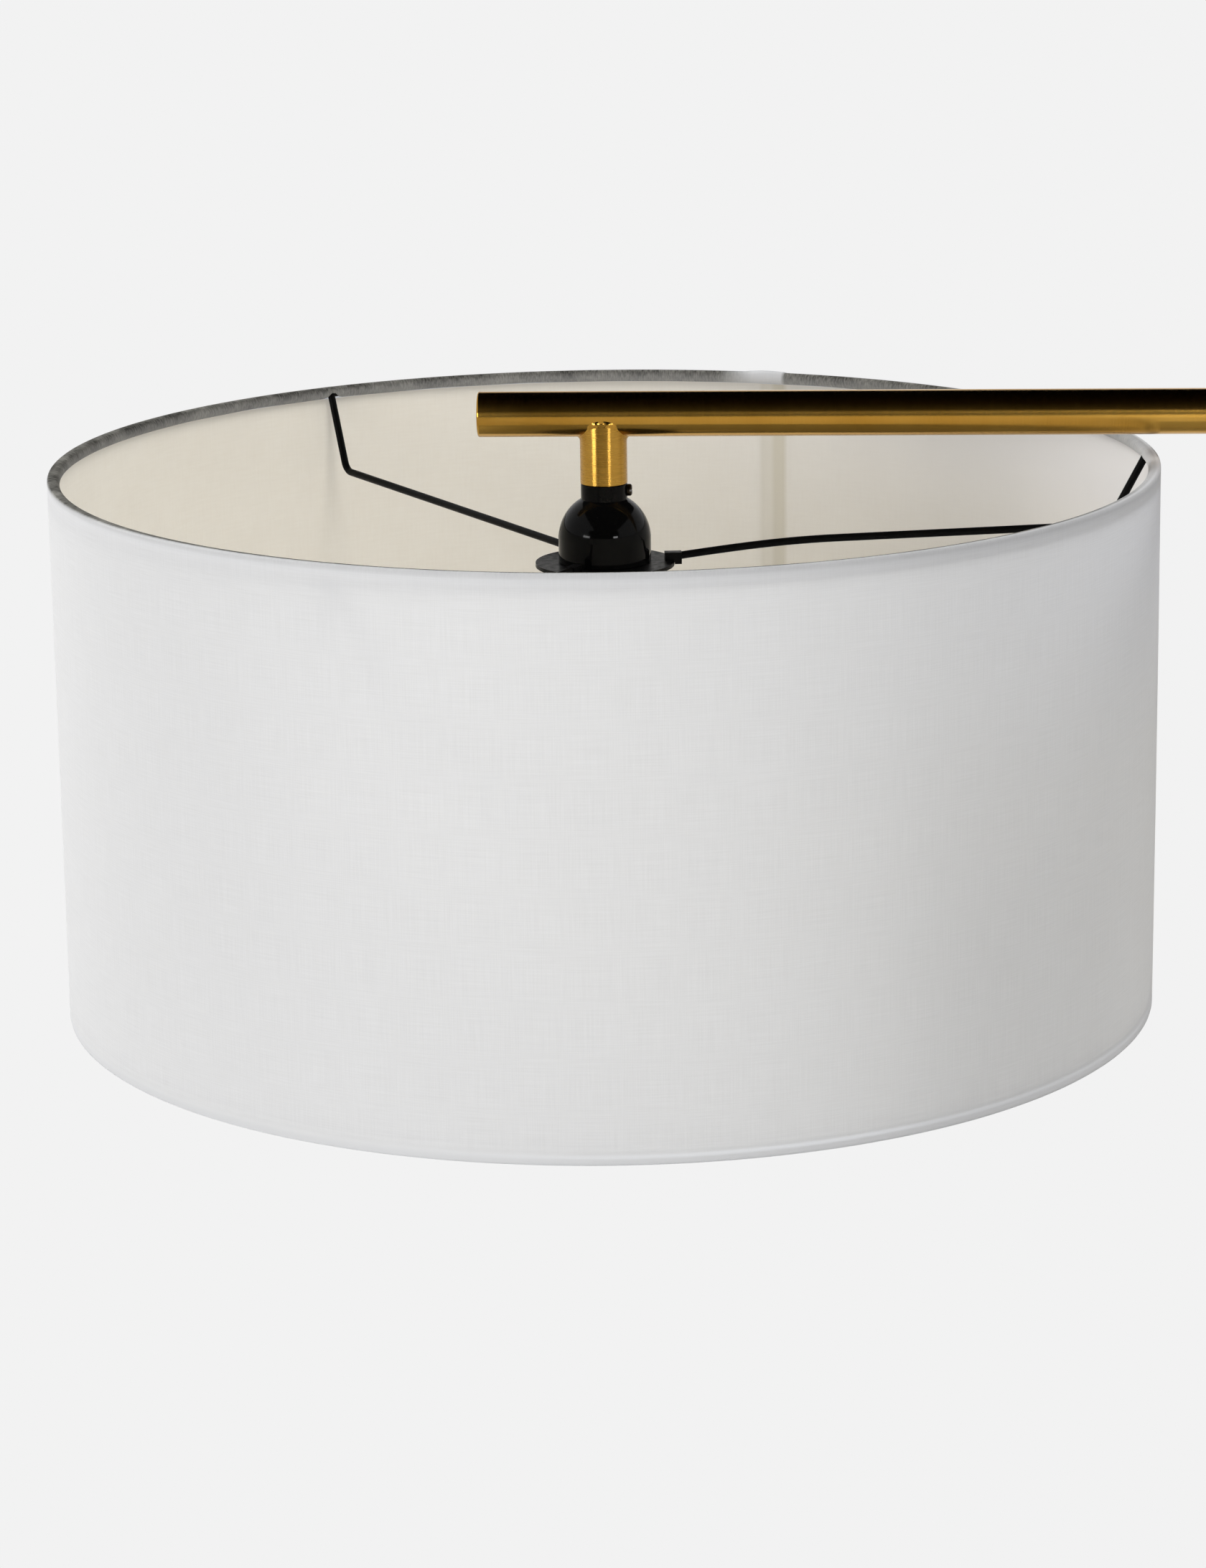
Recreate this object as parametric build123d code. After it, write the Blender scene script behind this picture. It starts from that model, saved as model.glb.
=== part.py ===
from build123d import *
import os
from math import cos, radians, sin, sqrt

# Arc floor lamp: a weighted round base with a foot switch, a pole in two sections, a swivelling arc that
# levels out into a straight arm, and a keyless lamp socket that hangs a drum shade below the arm's end.
# The frame: origin on the floor under the pole, +Z up, the arm reaching along -X. Millimetres throughout.

# Clearances
FIT = 0.05          # radial gap of pieces that are pressed, screwed or slipped together
RUNNING = 0.3       # gap between pieces that move past each other
SWIVEL_FIT = 0.05   # radial gap of the arc tube in its swivel bush
PICK = 1e-3         # half of the height band in which an edge is picked
SLOT_SHARE = 1 / 6  # width of a screw's slot, as a share of its head

# Base
BASE_D = 320
BASE_EDGE_R = 6
COVER_T = 1.5
COVER_LIFT = 1.5    # rim of the cover above the floor
WEIGHT_T = 22
PAD_T = 3
PAD_INSET = 9
CHANNEL_W = 13
CHANNEL_H = 12
WIRE_BORE_D = 16

# Cord inlet
GLAND_BORE_D = 7.2
GLAND_BODY_D = 10
GLAND_FLANGE_D = 14
GLAND_FLANGE_T = 2
GLAND_BARB_D = 11.5
GLAND_DEPTH = 9

# Foot switch
SWITCH_INSET = 60   # from the base's edge to the switch's axis
SWITCH_BODY_D = 26
SWITCH_FLOOR_T = 3
SWITCH_BUSH_D = 16
SWITCH_BEZEL_D = 27
SWITCH_BEZEL_H = 5
BEZEL_EDGE_R = 1.25
SWITCH_STEM_D = 10
SWITCH_TRAVEL = 4
SWITCH_TRAVEL_SPARE = 0.5
BUTTON_D = 24
BUTTON_H = 7
BUTTON_EDGE_R = 2.5
SPRING_WIRE_D = 0.9
SPRING_COIL_D = 7.6
SPRING_TURNS = 5
SPRING_H = 9
TERMINAL_BLOCK = 8

# Pole
FLANGE_D = 64
FLANGE_T = 8
FLANGE_EDGE_R = 2.5
HUB_D = 36
HUB_H = 16
HUB_EDGE_R = 2
FLANGE_SCREW_PCD = 48
FLANGE_SCREW_COUNT = 3
FLANGE_SCREW_D = 5
FLANGE_SCREW_HEAD_D = 9
FLANGE_SCREW_HEAD_H = 5
FLANGE_SCREW_BITE = 7
FLANGE_HEX_KEY = 4
GRUB_SCREW_D = 5
GRUB_SCREW_L = 5
GRUB_HEX_KEY = 2
POLE_D = 25
POLE_WALL = 1.5
LOWER_POLE_L = 630
UPPER_POLE_L = 630
JOINER_RING_H = 3
JOINER_SPIGOT_L = 35
JOINER_BORE_D = 14

# Swivel
SWIVEL_SOCKET_L = 60
SWIVEL_FLOOR_T = 10
SWIVEL_FLOOR_BORE_D = 12
SWIVEL_FLANGE_T = 2.5
COLLAR_D = 31
COLLAR_SKIRT_H = 14
COLLAR_CROWN_H = 12
COLLAR_EDGE_R = 1.5
THUMB_SCREW_D = 5
THUMB_HEAD_D = 14
THUMB_HEAD_L = 9
THUMB_NECK_L = 3
THUMB_FLUTES = 16
THUMB_FLUTE_D = 1.6

# Arc and arm
TUBE_D = 19
TUBE_WALL = 1.2
RISER_L = 100       # straight rise of the arc tube between pole and bend
BEND_R = 300
BEND_TAIL_L = 30    # straight end of the arc tube after its bend
ARM_JOINER_L = 70
ARM_JOINER_BORE_D = 11
REACH = 760         # from the pole's axis to the shade's axis
ARM_OVERHANG = 52
END_CAP_T = 2
END_CAP_SPIGOT_L = 8
END_CAP_EDGE_R = 0.8

# Drop stem
STEM_D = 19.6
STEM_WALL = 1.5
STEM_DROP = 28.8    # from the arm's axis to the foot of the stem
STEM_LIP = 2.8      # top of the saddle below the arm's axis
STEM_SADDLE_R = 10.3
STEM_HOLE_D = 14
STEM_PLUG_H = 10
NIPPLE_D = 10
NIPPLE_BORE_D = 7
NIPPLE_REACH = 6

# Lamp socket
NECK_D = 19.4
NECK_H = 6.5
NECK_CHAMFER = 0.5
DOME_D = 38.6
DOME_RISE = 17      # from the dome's centre up to the foot of the neck
SEAM_RISE = 1       # from the dome's centre up to the seam with the body
SOCKET_WALL = 2.5
SOCKET_BODY_H = 10.7
SKIRT_D = 35.8
SKIRT_H = 27
SKIRT_BORE_D = 29.2
THREAD_PITCH = 2.5
THREAD_DEPTH = 0.5
LOCK_SCREW_D = 3
LOCK_SCREW_HEAD_D = 5
LOCK_SCREW_HEAD_H = 2
CONTACT_BLOCK_H = 8
CONTACT_LEDGE_H = 4
SCREW_SHELL_D = 28.8
SCREW_SHELL_WALL = 0.6
SCREW_SHELL_L = 22
CONTACT_W = 6
CONTACT_T = 0.5
TERMINAL_SPACING = 18
TERMINAL_HEAD_D = 5
TERMINAL_HEAD_H = 2.5

# Bulb
BULB_CAP_D = 26.2
BULB_CAP_L = 23
BULB_TIP_D = 9
BULB_TIP_H = 1.5
BULB_GLOBE_D = 60
BULB_GLOBE_DROP = 56   # from the cap's rim down to the globe's centre
BULB_NECK_D = 25
BULB_FLARE_DEG = 50    # where the neck's flare meets the globe, above the globe's middle
BULB_GLASS_T = 1

# Drum shade
SHADE_D = 460
SHADE_H = 230
SKIN_T = 0.6
LINER_T = 0.5
RIM_WIRE_D = 4
HEM_GAP_DEG = 70    # open side of the rolled hem, where the cloth is tucked in
HEM_TUCK_DEG = 45   # middle of that opening, from straight out towards the middle of the shade
FITTER_D = 58
FITTER_T = 1.6
FITTER_RECESS = 43.1  # fitter ring below the shade's top edge
ARM_WIRE_D = 3.2
ARM_WIRE_COUNT = 3
ARM_WIRE_FIRST_DEG = 6
ARM_WIRE_BEND_IN = 15.3    # bend of the wire inside the shade's outer face
ARM_WIRE_BEND_DROP = 36.9  # bend of the wire below the shade's top edge
ARM_WIRE_BEND_R = 6
WIRE_FOOT_L = 7
WIRE_FOOT_W = 4.2
WIRE_FOOT_H = 3.4
WIRE_FOOT_LAP = 4   # length of the foot that lies on the fitter ring
SHADE_NUT_D = 49
SHADE_NUT_H = 9
SHADE_NUT_RIM_D = 52
SHADE_NUT_RIM_H = 2
SHADE_NUT_FLUTES = 24
SHADE_NUT_FLUTE_D = 3

# Mains lead inside the tubes
LEAD_D = 5
LEAD_FLOOR_GAP = 1.5
LEAD_FOOT_BEND_R = 14
LEAD_STEM_BEND_R = 8

# Heights and radii that follow from the sizes above
WEIGHT_TOP = PAD_T + WEIGHT_T
BASE_TOP = WEIGHT_TOP + COVER_T
COVER_BORE_R = BASE_D / 2 - COVER_T
CHANNEL_Z = PAD_T + CHANNEL_H / 2
SWITCH_X = BASE_D / 2 - SWITCH_INSET
POLE_SEAT = BASE_TOP + FLANGE_T
POLE_BORE_R = POLE_D / 2 - POLE_WALL
JOINT_Z = POLE_SEAT + LOWER_POLE_L
POLE_TOP = JOINT_Z + JOINER_RING_H + UPPER_POLE_L
SWIVEL_TOP = POLE_TOP + SWIVEL_FLANGE_T
SWIVEL_SEAT = SWIVEL_TOP - SWIVEL_SOCKET_L
TUBE_BORE_R = TUBE_D / 2 - TUBE_WALL
BEND_START = SWIVEL_TOP + RISER_L
ARM_Z = BEND_START + BEND_R
ARM_JOINT_X = -(BEND_R + BEND_TAIL_L)
ARM_END_X = -(REACH + ARM_OVERHANG)
STEM_FOOT = ARM_Z - STEM_DROP
NECK_FOOT = STEM_FOOT - NECK_H
DOME_CENTRE = NECK_FOOT - DOME_RISE
SEAM_Z = DOME_CENTRE + SEAM_RISE
SHOULDER_Z = SEAM_Z - SOCKET_BODY_H
SKIRT_FOOT = SHOULDER_Z - SKIRT_H
SOCKET_POCKET_R = DOME_D / 2 - 2 * SOCKET_WALL
BLOCK_SEAT = SHOULDER_Z - CONTACT_LEDGE_H
BLOCK_TOP = BLOCK_SEAT + CONTACT_BLOCK_H
FITTER_TOP = SHOULDER_Z - RUNNING
FITTER_FOOT = FITTER_TOP - FITTER_T
BULB_TIP_TOP = BLOCK_SEAT - CONTACT_T - RUNNING
BULB_CAP_TOP = BULB_TIP_TOP - BULB_TIP_H
BULB_RIM_Z = BULB_CAP_TOP - BULB_CAP_L
SHADE_TOP = FITTER_TOP + FITTER_RECESS
SHADE_FOOT = SHADE_TOP - SHADE_H
HEM_R = RIM_WIRE_D / 2 + FIT + SKIN_T
RIM_RING_R = SHADE_D / 2 - HEM_R
SWITCH_TOP = BASE_TOP + SWITCH_BEZEL_H
LEAD_Z = PAD_T + LEAD_FLOOR_GAP + LEAD_D / 2


def turned(*outline):
    """A solid turned about the Z axis from its (radius, height) outline."""
    return revolve(make_face(Polyline(*[(r, 0, z) for r, z in outline], close=True)), Axis.Z)


def disc(diameter, foot, top):
    return Pos(0, 0, foot) * Cylinder(
        diameter / 2, top - foot, align=(Align.CENTER, Align.CENTER, Align.MIN))


def ring(outer_d, inner_d, foot, top):
    return disc(outer_d, foot, top) - disc(inner_d, foot, top)


def edges_at(part, height):
    """The edges of a part that lie level at one height."""
    return part.edges().filter_by_position(Axis.Z, height - PICK, height + PICK)


def rounded(part, radius, height):
    """The part with its round edges at one height filleted."""
    return fillet(edges_at(part, height), radius)


def bar_x(diameter, start, end, height):
    """A round bar along X, at one height above the floor."""
    return Pos(start, 0, height) * Rot(0, 90, 0) * Cylinder(
        diameter / 2, end - start, align=(Align.CENTER, Align.CENTER, Align.MIN))


def ring_x(outer_d, inner_d, start, end, height):
    return bar_x(outer_d, start, end, height) - bar_x(inner_d, start, end, height)


def at_shade(part):
    """Moves a piece made about the Z axis to the axis of the shade."""
    return Pos(-REACH, 0, 0) * part


def spread(part, count, first_deg=0.0):
    """Copies of a piece, evenly spaced about the Z axis."""
    return [Rot(0, 0, first_deg + 360 * i / count) * part for i in range(count)]


# Base

def foot_pad():
    return disc(BASE_D - 2 * PAD_INSET, 0, PAD_T)


def flange_screw_holes(diameter, foot, top):
    """Upright cutters at the three screws that hold the pole's flange."""
    hole = Pos(FLANGE_SCREW_PCD / 2, 0, 0) * disc(diameter, foot, top)
    return spread(hole, FLANGE_SCREW_COUNT, 180 / FLANGE_SCREW_COUNT)


FLANGE_SCREW_FOOT = PAD_T + LEAD_FLOOR_GAP
FLANGE_SCREW_SEAT = FLANGE_SCREW_FOOT + FLANGE_SCREW_HEAD_H


def base_weight():
    weight = rounded(disc(2 * (COVER_BORE_R - FIT), PAD_T, WEIGHT_TOP), BASE_EDGE_R, WEIGHT_TOP)
    weight -= disc(WIRE_BORE_D, PAD_T, WEIGHT_TOP)
    weight -= Pos(0, 0, PAD_T) * Box(
        BASE_D / 2, CHANNEL_W, CHANNEL_H, align=(Align.MIN, Align.CENTER, Align.MIN))
    weight -= Pos(SWITCH_X, 0, 0) * disc(SWITCH_BODY_D + 2 * RUNNING, PAD_T, WEIGHT_TOP)
    for hole in flange_screw_holes(FLANGE_SCREW_D + 2 * RUNNING, PAD_T, WEIGHT_TOP):
        weight -= hole
    for counterbore in flange_screw_holes(FLANGE_SCREW_HEAD_D + 2 * RUNNING, PAD_T, FLANGE_SCREW_SEAT):
        weight -= counterbore
    return weight


def base_cover():
    cover = rounded(disc(BASE_D, COVER_LIFT, BASE_TOP), BASE_EDGE_R, BASE_TOP)
    cover -= rounded(disc(2 * COVER_BORE_R, COVER_LIFT, WEIGHT_TOP), BASE_EDGE_R - COVER_T, WEIGHT_TOP)
    cover -= disc(WIRE_BORE_D, WEIGHT_TOP, BASE_TOP)
    cover -= Pos(SWITCH_X, 0, 0) * disc(SWITCH_BUSH_D + 2 * FIT, WEIGHT_TOP, BASE_TOP)
    cover -= bar_x(GLAND_BODY_D + 2 * FIT, COVER_BORE_R - COVER_T, BASE_D / 2 + COVER_T, CHANNEL_Z)
    for hole in flange_screw_holes(FLANGE_SCREW_D + 2 * RUNNING, WEIGHT_TOP, BASE_TOP):
        cover -= hole
    return cover


def cord_gland():
    outside = BASE_D / 2
    barb = COVER_BORE_R - RUNNING
    inner_end = outside - GLAND_DEPTH
    gland = bar_x(GLAND_BODY_D, inner_end, outside + GLAND_FLANGE_T, CHANNEL_Z)
    gland += bar_x(GLAND_FLANGE_D, outside, outside + GLAND_FLANGE_T, CHANNEL_Z)
    gland += bar_x(GLAND_BARB_D, barb - GLAND_FLANGE_T, barb, CHANNEL_Z)
    return gland - bar_x(GLAND_BORE_D, inner_end, outside + GLAND_FLANGE_T, CHANNEL_Z)


# Foot switch

SWITCH_FLOOR = PAD_T + LEAD_FLOOR_GAP + SWITCH_FLOOR_T
BUTTON_FOOT = SWITCH_TOP + SWITCH_TRAVEL + SWITCH_TRAVEL_SPARE
LEAD_START_X = SWITCH_X - SWITCH_BODY_D / 2 - TERMINAL_BLOCK / 2


def switch_body():
    foot = PAD_T + LEAD_FLOOR_GAP
    body = disc(SWITCH_BODY_D, foot, WEIGHT_TOP) + disc(SWITCH_BUSH_D, WEIGHT_TOP, SWITCH_TOP)
    body += Pos(LEAD_START_X - SWITCH_X, 0, foot) * Box(
        TERMINAL_BLOCK, TERMINAL_BLOCK, LEAD_D, align=(Align.MIN, Align.CENTER, Align.MIN))
    body -= disc(SWITCH_STEM_D + 2 * RUNNING, SWITCH_FLOOR, SWITCH_TOP)
    return Pos(SWITCH_X, 0, 0) * body


def switch_bezel():
    bezel = ring(SWITCH_BEZEL_D, SWITCH_BUSH_D + 2 * FIT, BASE_TOP, SWITCH_TOP)
    outer_top = edges_at(bezel, SWITCH_TOP).sort_by(SortBy.RADIUS)[-1]
    return Pos(SWITCH_X, 0, 0) * fillet(outer_top, BEZEL_EDGE_R)


def switch_button():
    top = BUTTON_FOOT + BUTTON_H
    cap = rounded(disc(BUTTON_D, BUTTON_FOOT, top), BUTTON_EDGE_R, top)
    return Pos(SWITCH_X, 0, 0) * (cap + disc(SWITCH_STEM_D, SWITCH_FLOOR + SPRING_H, BUTTON_FOOT))


def switch_spring():
    pitch = (SPRING_H - SPRING_WIRE_D) / SPRING_TURNS
    coil = Pos(0, 0, SWITCH_FLOOR + SPRING_WIRE_D / 2) * Helix(
        pitch, SPRING_TURNS * pitch, SPRING_COIL_D / 2)
    wire = Plane(coil @ 0, z_dir=coil % 0) * Circle(SPRING_WIRE_D / 2 - FIT)
    return Pos(SWITCH_X, 0, 0) * sweep(wire, coil, is_frenet=True)


# Pole

def hexagon(across_flats):
    return RegularPolygon(across_flats / sqrt(3), 6)


def flange_screws():
    tip = BASE_TOP + FLANGE_SCREW_BITE
    screw = disc(FLANGE_SCREW_HEAD_D, FLANGE_SCREW_FOOT, FLANGE_SCREW_SEAT)
    screw += disc(FLANGE_SCREW_D, FLANGE_SCREW_SEAT, tip)
    screw -= Pos(0, 0, FLANGE_SCREW_FOOT) * extrude(hexagon(FLANGE_HEX_KEY), FLANGE_SCREW_HEAD_H / 2)
    placed = Pos(FLANGE_SCREW_PCD / 2, 0, 0) * screw
    return spread(placed, FLANGE_SCREW_COUNT, 180 / FLANGE_SCREW_COUNT)


def pole_flange():
    plate = rounded(disc(FLANGE_D, BASE_TOP, POLE_SEAT), FLANGE_EDGE_R, POLE_SEAT)
    hub = rounded(disc(HUB_D, BASE_TOP, POLE_SEAT + HUB_H), HUB_EDGE_R, POLE_SEAT + HUB_H)
    flange = plate + hub - disc(WIRE_BORE_D, BASE_TOP, POLE_SEAT)
    flange -= disc(POLE_D + 2 * FIT, POLE_SEAT, POLE_SEAT + HUB_H)
    screw_tip = BASE_TOP + FLANGE_SCREW_BITE
    for hole in flange_screw_holes(FLANGE_SCREW_D + 2 * FIT, BASE_TOP, screw_tip + FIT):
        flange -= hole
    return flange - bar_x(GRUB_SCREW_D + 2 * FIT, 0, HUB_D, POLE_SEAT + HUB_H / 2)


def pole_grub_screw():
    start = POLE_D / 2 + 2 * FIT
    height = POLE_SEAT + HUB_H / 2
    key = Pos(start + GRUB_SCREW_L / 2, 0, height) * Rot(0, 90, 0) * extrude(
        hexagon(GRUB_HEX_KEY), GRUB_SCREW_L)
    return bar_x(GRUB_SCREW_D, start, start + GRUB_SCREW_L, height) - key


def lower_pole():
    return ring(POLE_D, 2 * POLE_BORE_R, POLE_SEAT, JOINT_Z)


def pole_joiner():
    foot = JOINT_Z - JOINER_SPIGOT_L
    top = JOINT_Z + JOINER_RING_H + JOINER_SPIGOT_L
    joiner = disc(2 * (POLE_BORE_R - FIT), foot, top) + disc(POLE_D, JOINT_Z, JOINT_Z + JOINER_RING_H)
    return joiner - disc(JOINER_BORE_D, foot, top)


def upper_pole():
    return ring(POLE_D, 2 * POLE_BORE_R, JOINT_Z + JOINER_RING_H, POLE_TOP)


# Swivel

def swivel_bush():
    foot = SWIVEL_SEAT - SWIVEL_FLOOR_T
    bush = disc(2 * (POLE_BORE_R - FIT), foot, SWIVEL_TOP) + disc(POLE_D, POLE_TOP, SWIVEL_TOP)
    bush -= disc(TUBE_D + 2 * SWIVEL_FIT, SWIVEL_SEAT, SWIVEL_TOP)
    return bush - disc(SWIVEL_FLOOR_BORE_D, foot, SWIVEL_SEAT)


COLLAR_TOP = SWIVEL_TOP + COLLAR_CROWN_H
THUMB_SCREW_Z = SWIVEL_TOP + COLLAR_CROWN_H / 2


def swivel_collar():
    foot = POLE_TOP - COLLAR_SKIRT_H
    collar = disc(COLLAR_D, foot, COLLAR_TOP)
    for height in (foot, COLLAR_TOP):
        collar = rounded(collar, COLLAR_EDGE_R, height)
    collar -= disc(POLE_D + 2 * FIT, foot, SWIVEL_TOP)
    collar -= disc(TUBE_D + 2 * RUNNING, SWIVEL_TOP, COLLAR_TOP)
    return collar - bar_x(THUMB_SCREW_D + 2 * FIT, 0, COLLAR_D, THUMB_SCREW_Z)


def swivel_screw():
    tip = TUBE_D / 2 + 2 * FIT
    neck = COLLAR_D / 2 + THUMB_NECK_L
    head = disc(THUMB_HEAD_D, 0, THUMB_HEAD_L)
    flute = Pos(THUMB_HEAD_D / 2, 0, 0) * disc(THUMB_FLUTE_D, 0, THUMB_HEAD_L)
    for cut in spread(flute, THUMB_FLUTES):
        head -= cut
    screw = bar_x(THUMB_SCREW_D, tip, neck, THUMB_SCREW_Z)
    return screw + Pos(neck, 0, THUMB_SCREW_Z) * Rot(0, 90, 0) * head


# Arc and arm

def swept_round(path, diameter):
    section = Plane(path @ 0, z_dir=path % 0) * Circle(diameter / 2)
    return sweep(section, path)


def arc_tube():
    path = FilletPolyline((0, 0, SWIVEL_SEAT), (0, 0, ARM_Z), (ARM_JOINT_X, 0, ARM_Z), radius=BEND_R)
    return swept_round(path, TUBE_D) - swept_round(path, 2 * TUBE_BORE_R)


def arm_joiner():
    half = ARM_JOINER_L / 2
    return ring_x(2 * (TUBE_BORE_R - FIT), ARM_JOINER_BORE_D, ARM_JOINT_X - half, ARM_JOINT_X + half, ARM_Z)


def arm_tube():
    tube = ring_x(TUBE_D, 2 * TUBE_BORE_R, ARM_END_X + END_CAP_T, ARM_JOINT_X, ARM_Z)
    return tube - at_shade(disc(STEM_HOLE_D, ARM_Z - TUBE_D, ARM_Z))


def arm_end_cap():
    face = ARM_END_X + END_CAP_T
    cap = bar_x(TUBE_D, ARM_END_X, face, ARM_Z)
    cap = fillet(cap.edges().sort_by(Axis.X)[0], END_CAP_EDGE_R)
    return cap + bar_x(2 * (TUBE_BORE_R - FIT), face, face + END_CAP_SPIGOT_L, ARM_Z)


def drop_stem():
    stem = disc(STEM_D, STEM_FOOT, ARM_Z)
    saddle_z = ARM_Z - STEM_LIP - STEM_SADDLE_R
    arch = Pos(0, 0, saddle_z) * Rot(90, 0, 0) * Cylinder(STEM_SADDLE_R, 2 * STEM_D)
    stem &= arch + disc(2 * STEM_D, STEM_FOOT, saddle_z)
    stem -= disc(STEM_D - 2 * STEM_WALL, STEM_FOOT, ARM_Z)
    return at_shade(stem) - bar_x(TUBE_D, ARM_END_X, ARM_JOINT_X, ARM_Z)


def stem_plug():
    plug_d = STEM_D - 2 * (STEM_WALL + FIT)
    return at_shade(ring(plug_d, NIPPLE_D + 2 * FIT, STEM_FOOT, STEM_FOOT + STEM_PLUG_H))


def stem_nipple():
    return at_shade(ring(NIPPLE_D, NIPPLE_BORE_D, STEM_FOOT - NIPPLE_REACH, STEM_FOOT + STEM_PLUG_H))


# Lamp socket

def socket_cap():
    sphere = Pos(0, 0, DOME_CENTRE) * (Sphere(DOME_D / 2) - Sphere(DOME_D / 2 - SOCKET_WALL))
    dome = sphere & disc(2 * DOME_D, SEAM_Z, STEM_FOOT)
    neck = disc(NECK_D, NECK_FOOT - SOCKET_WALL, STEM_FOOT)
    cap = dome + chamfer(edges_at(neck, STEM_FOOT), NECK_CHAMFER)
    cap -= disc(NIPPLE_D + 2 * FIT, SEAM_Z, STEM_FOOT)
    return at_shade(cap) - lock_screw_bar(LOCK_SCREW_D + 2 * FIT, NIPPLE_D / 2, NECK_D)


def lock_screw_bar(diameter, start, end):
    """A round bar along +X through the socket's neck, measured from the shade's axis."""
    return bar_x(diameter, start - REACH, end - REACH, STEM_FOOT - NECK_H / 2)


def socket_lock_screw():
    seat = NECK_D / 2
    head = lock_screw_bar(LOCK_SCREW_HEAD_D, seat, seat + LOCK_SCREW_HEAD_H)
    head = fillet(head.edges().sort_by(Axis.X)[-1], LOCK_SCREW_HEAD_H / 2)
    slot = Pos(seat + LOCK_SCREW_HEAD_H - REACH, 0, STEM_FOOT - NECK_H / 2) * Box(
        LOCK_SCREW_HEAD_H, LOCK_SCREW_HEAD_D, LOCK_SCREW_HEAD_D * SLOT_SHARE)
    return head + lock_screw_bar(LOCK_SCREW_D, NIPPLE_D / 2 + FIT, seat) - slot


def threaded_outline(radius, foot, top):
    """Outline points of a rolled thread, as ridges from top to foot."""
    ridges = int((top - foot) / THREAD_PITCH)
    points = []
    for i in range(ridges):
        crest = top - (i + 0.5) * THREAD_PITCH
        points += [(radius - THREAD_DEPTH, crest + THREAD_PITCH / 2), (radius, crest)]
    return points + [(radius - THREAD_DEPTH, top - ridges * THREAD_PITCH)]


def socket_body():
    body = disc(DOME_D, SHOULDER_Z, SEAM_Z)
    body += turned((0, SHOULDER_Z), *threaded_outline(SKIRT_D / 2, SKIRT_FOOT, SHOULDER_Z),
                   (SKIRT_D / 2 - THREAD_DEPTH, SKIRT_FOOT), (0, SKIRT_FOOT))
    body -= disc(2 * SOCKET_POCKET_R, BLOCK_SEAT, SEAM_Z)
    return at_shade(body - disc(SKIRT_BORE_D, SKIRT_FOOT, BLOCK_SEAT))


def contact_block():
    return at_shade(disc(2 * (SOCKET_POCKET_R - FIT), BLOCK_SEAT, BLOCK_TOP))


def terminal_screws():
    head = disc(TERMINAL_HEAD_D, BLOCK_TOP, BLOCK_TOP + TERMINAL_HEAD_H)
    head -= Pos(0, 0, BLOCK_TOP + TERMINAL_HEAD_H) * Box(
        TERMINAL_HEAD_D, TERMINAL_HEAD_D * SLOT_SHARE, TERMINAL_HEAD_H)
    return [at_shade(Pos(0, side * TERMINAL_SPACING / 2, 0) * head) for side in (-1, 1)]


def screw_shell():
    foot = BLOCK_SEAT - SCREW_SHELL_L
    return at_shade(ring(SCREW_SHELL_D, SCREW_SHELL_D - 2 * SCREW_SHELL_WALL, foot, BLOCK_SEAT))


def centre_contact():
    tongue = Pos(0, 0, BLOCK_SEAT) * Box(
        BULB_CAP_D / 2, CONTACT_W, CONTACT_T, align=(Align.CENTER, Align.CENTER, Align.MAX))
    return at_shade(tongue)


# Bulb

def bulb_cap():
    outline = [(0, BULB_CAP_TOP), (BULB_TIP_D / 2, BULB_CAP_TOP)]
    outline += threaded_outline(BULB_CAP_D / 2, BULB_RIM_Z, BULB_CAP_TOP - THREAD_PITCH)
    outline += [(BULB_CAP_D / 2 - THREAD_DEPTH, BULB_RIM_Z), (0, BULB_RIM_Z)]
    return at_shade(turned(*outline) + disc(BULB_TIP_D, BULB_CAP_TOP, BULB_TIP_TOP))


def globe_solid(shrink):
    """The bulb's envelope, all its faces set in by one amount: a flared neck tangent to a ball."""
    ball_r = BULB_GLOBE_D / 2 - shrink
    neck_r = BULB_NECK_D / 2 - shrink
    centre = BULB_RIM_Z - BULB_GLOBE_DROP
    joint = radians(BULB_FLARE_DEG)
    joint_point = (ball_r * cos(joint), centre + ball_r * sin(joint))
    tangent = (-sin(joint), cos(joint))
    with BuildSketch(Plane.XZ) as outline:
        with BuildLine():
            neck = Line((0, BULB_RIM_Z), (neck_r, BULB_RIM_Z))
            flare = Spline(neck @ 1, joint_point, tangents=((0, -1), (-tangent[0], -tangent[1])))
            ball = ThreePointArc(flare @ 1, (ball_r, centre), (0, centre - ball_r))
            Line(ball @ 1, neck @ 0)
        make_face()
    return revolve(outline.sketch, Axis.Z)


def bulb_globe():
    return at_shade(globe_solid(0) - globe_solid(BULB_GLASS_T))


# Drum shade

def hem_section(height, gap_deg):
    """Cloth rolled round a rim wire at one height: a ring in the XZ plane, open towards gap_deg."""
    opening_r = 2 * HEM_R
    half_gap = radians(HEM_GAP_DEG / 2)
    middle = radians(gap_deg)
    corners = [(0, 0)]
    for angle in (middle - half_gap, middle, middle + half_gap):
        corners.append((opening_r * cos(angle), opening_r * sin(angle)))
    opening = make_face(Polyline(*corners, close=True))
    roll = Circle(HEM_R) - Circle(HEM_R - SKIN_T) - opening
    return Plane.XZ * (Pos(RIM_RING_R, height) * roll)


TOP_RING_Z = SHADE_TOP - HEM_R
BOTTOM_RING_Z = SHADE_FOOT + HEM_R


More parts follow.
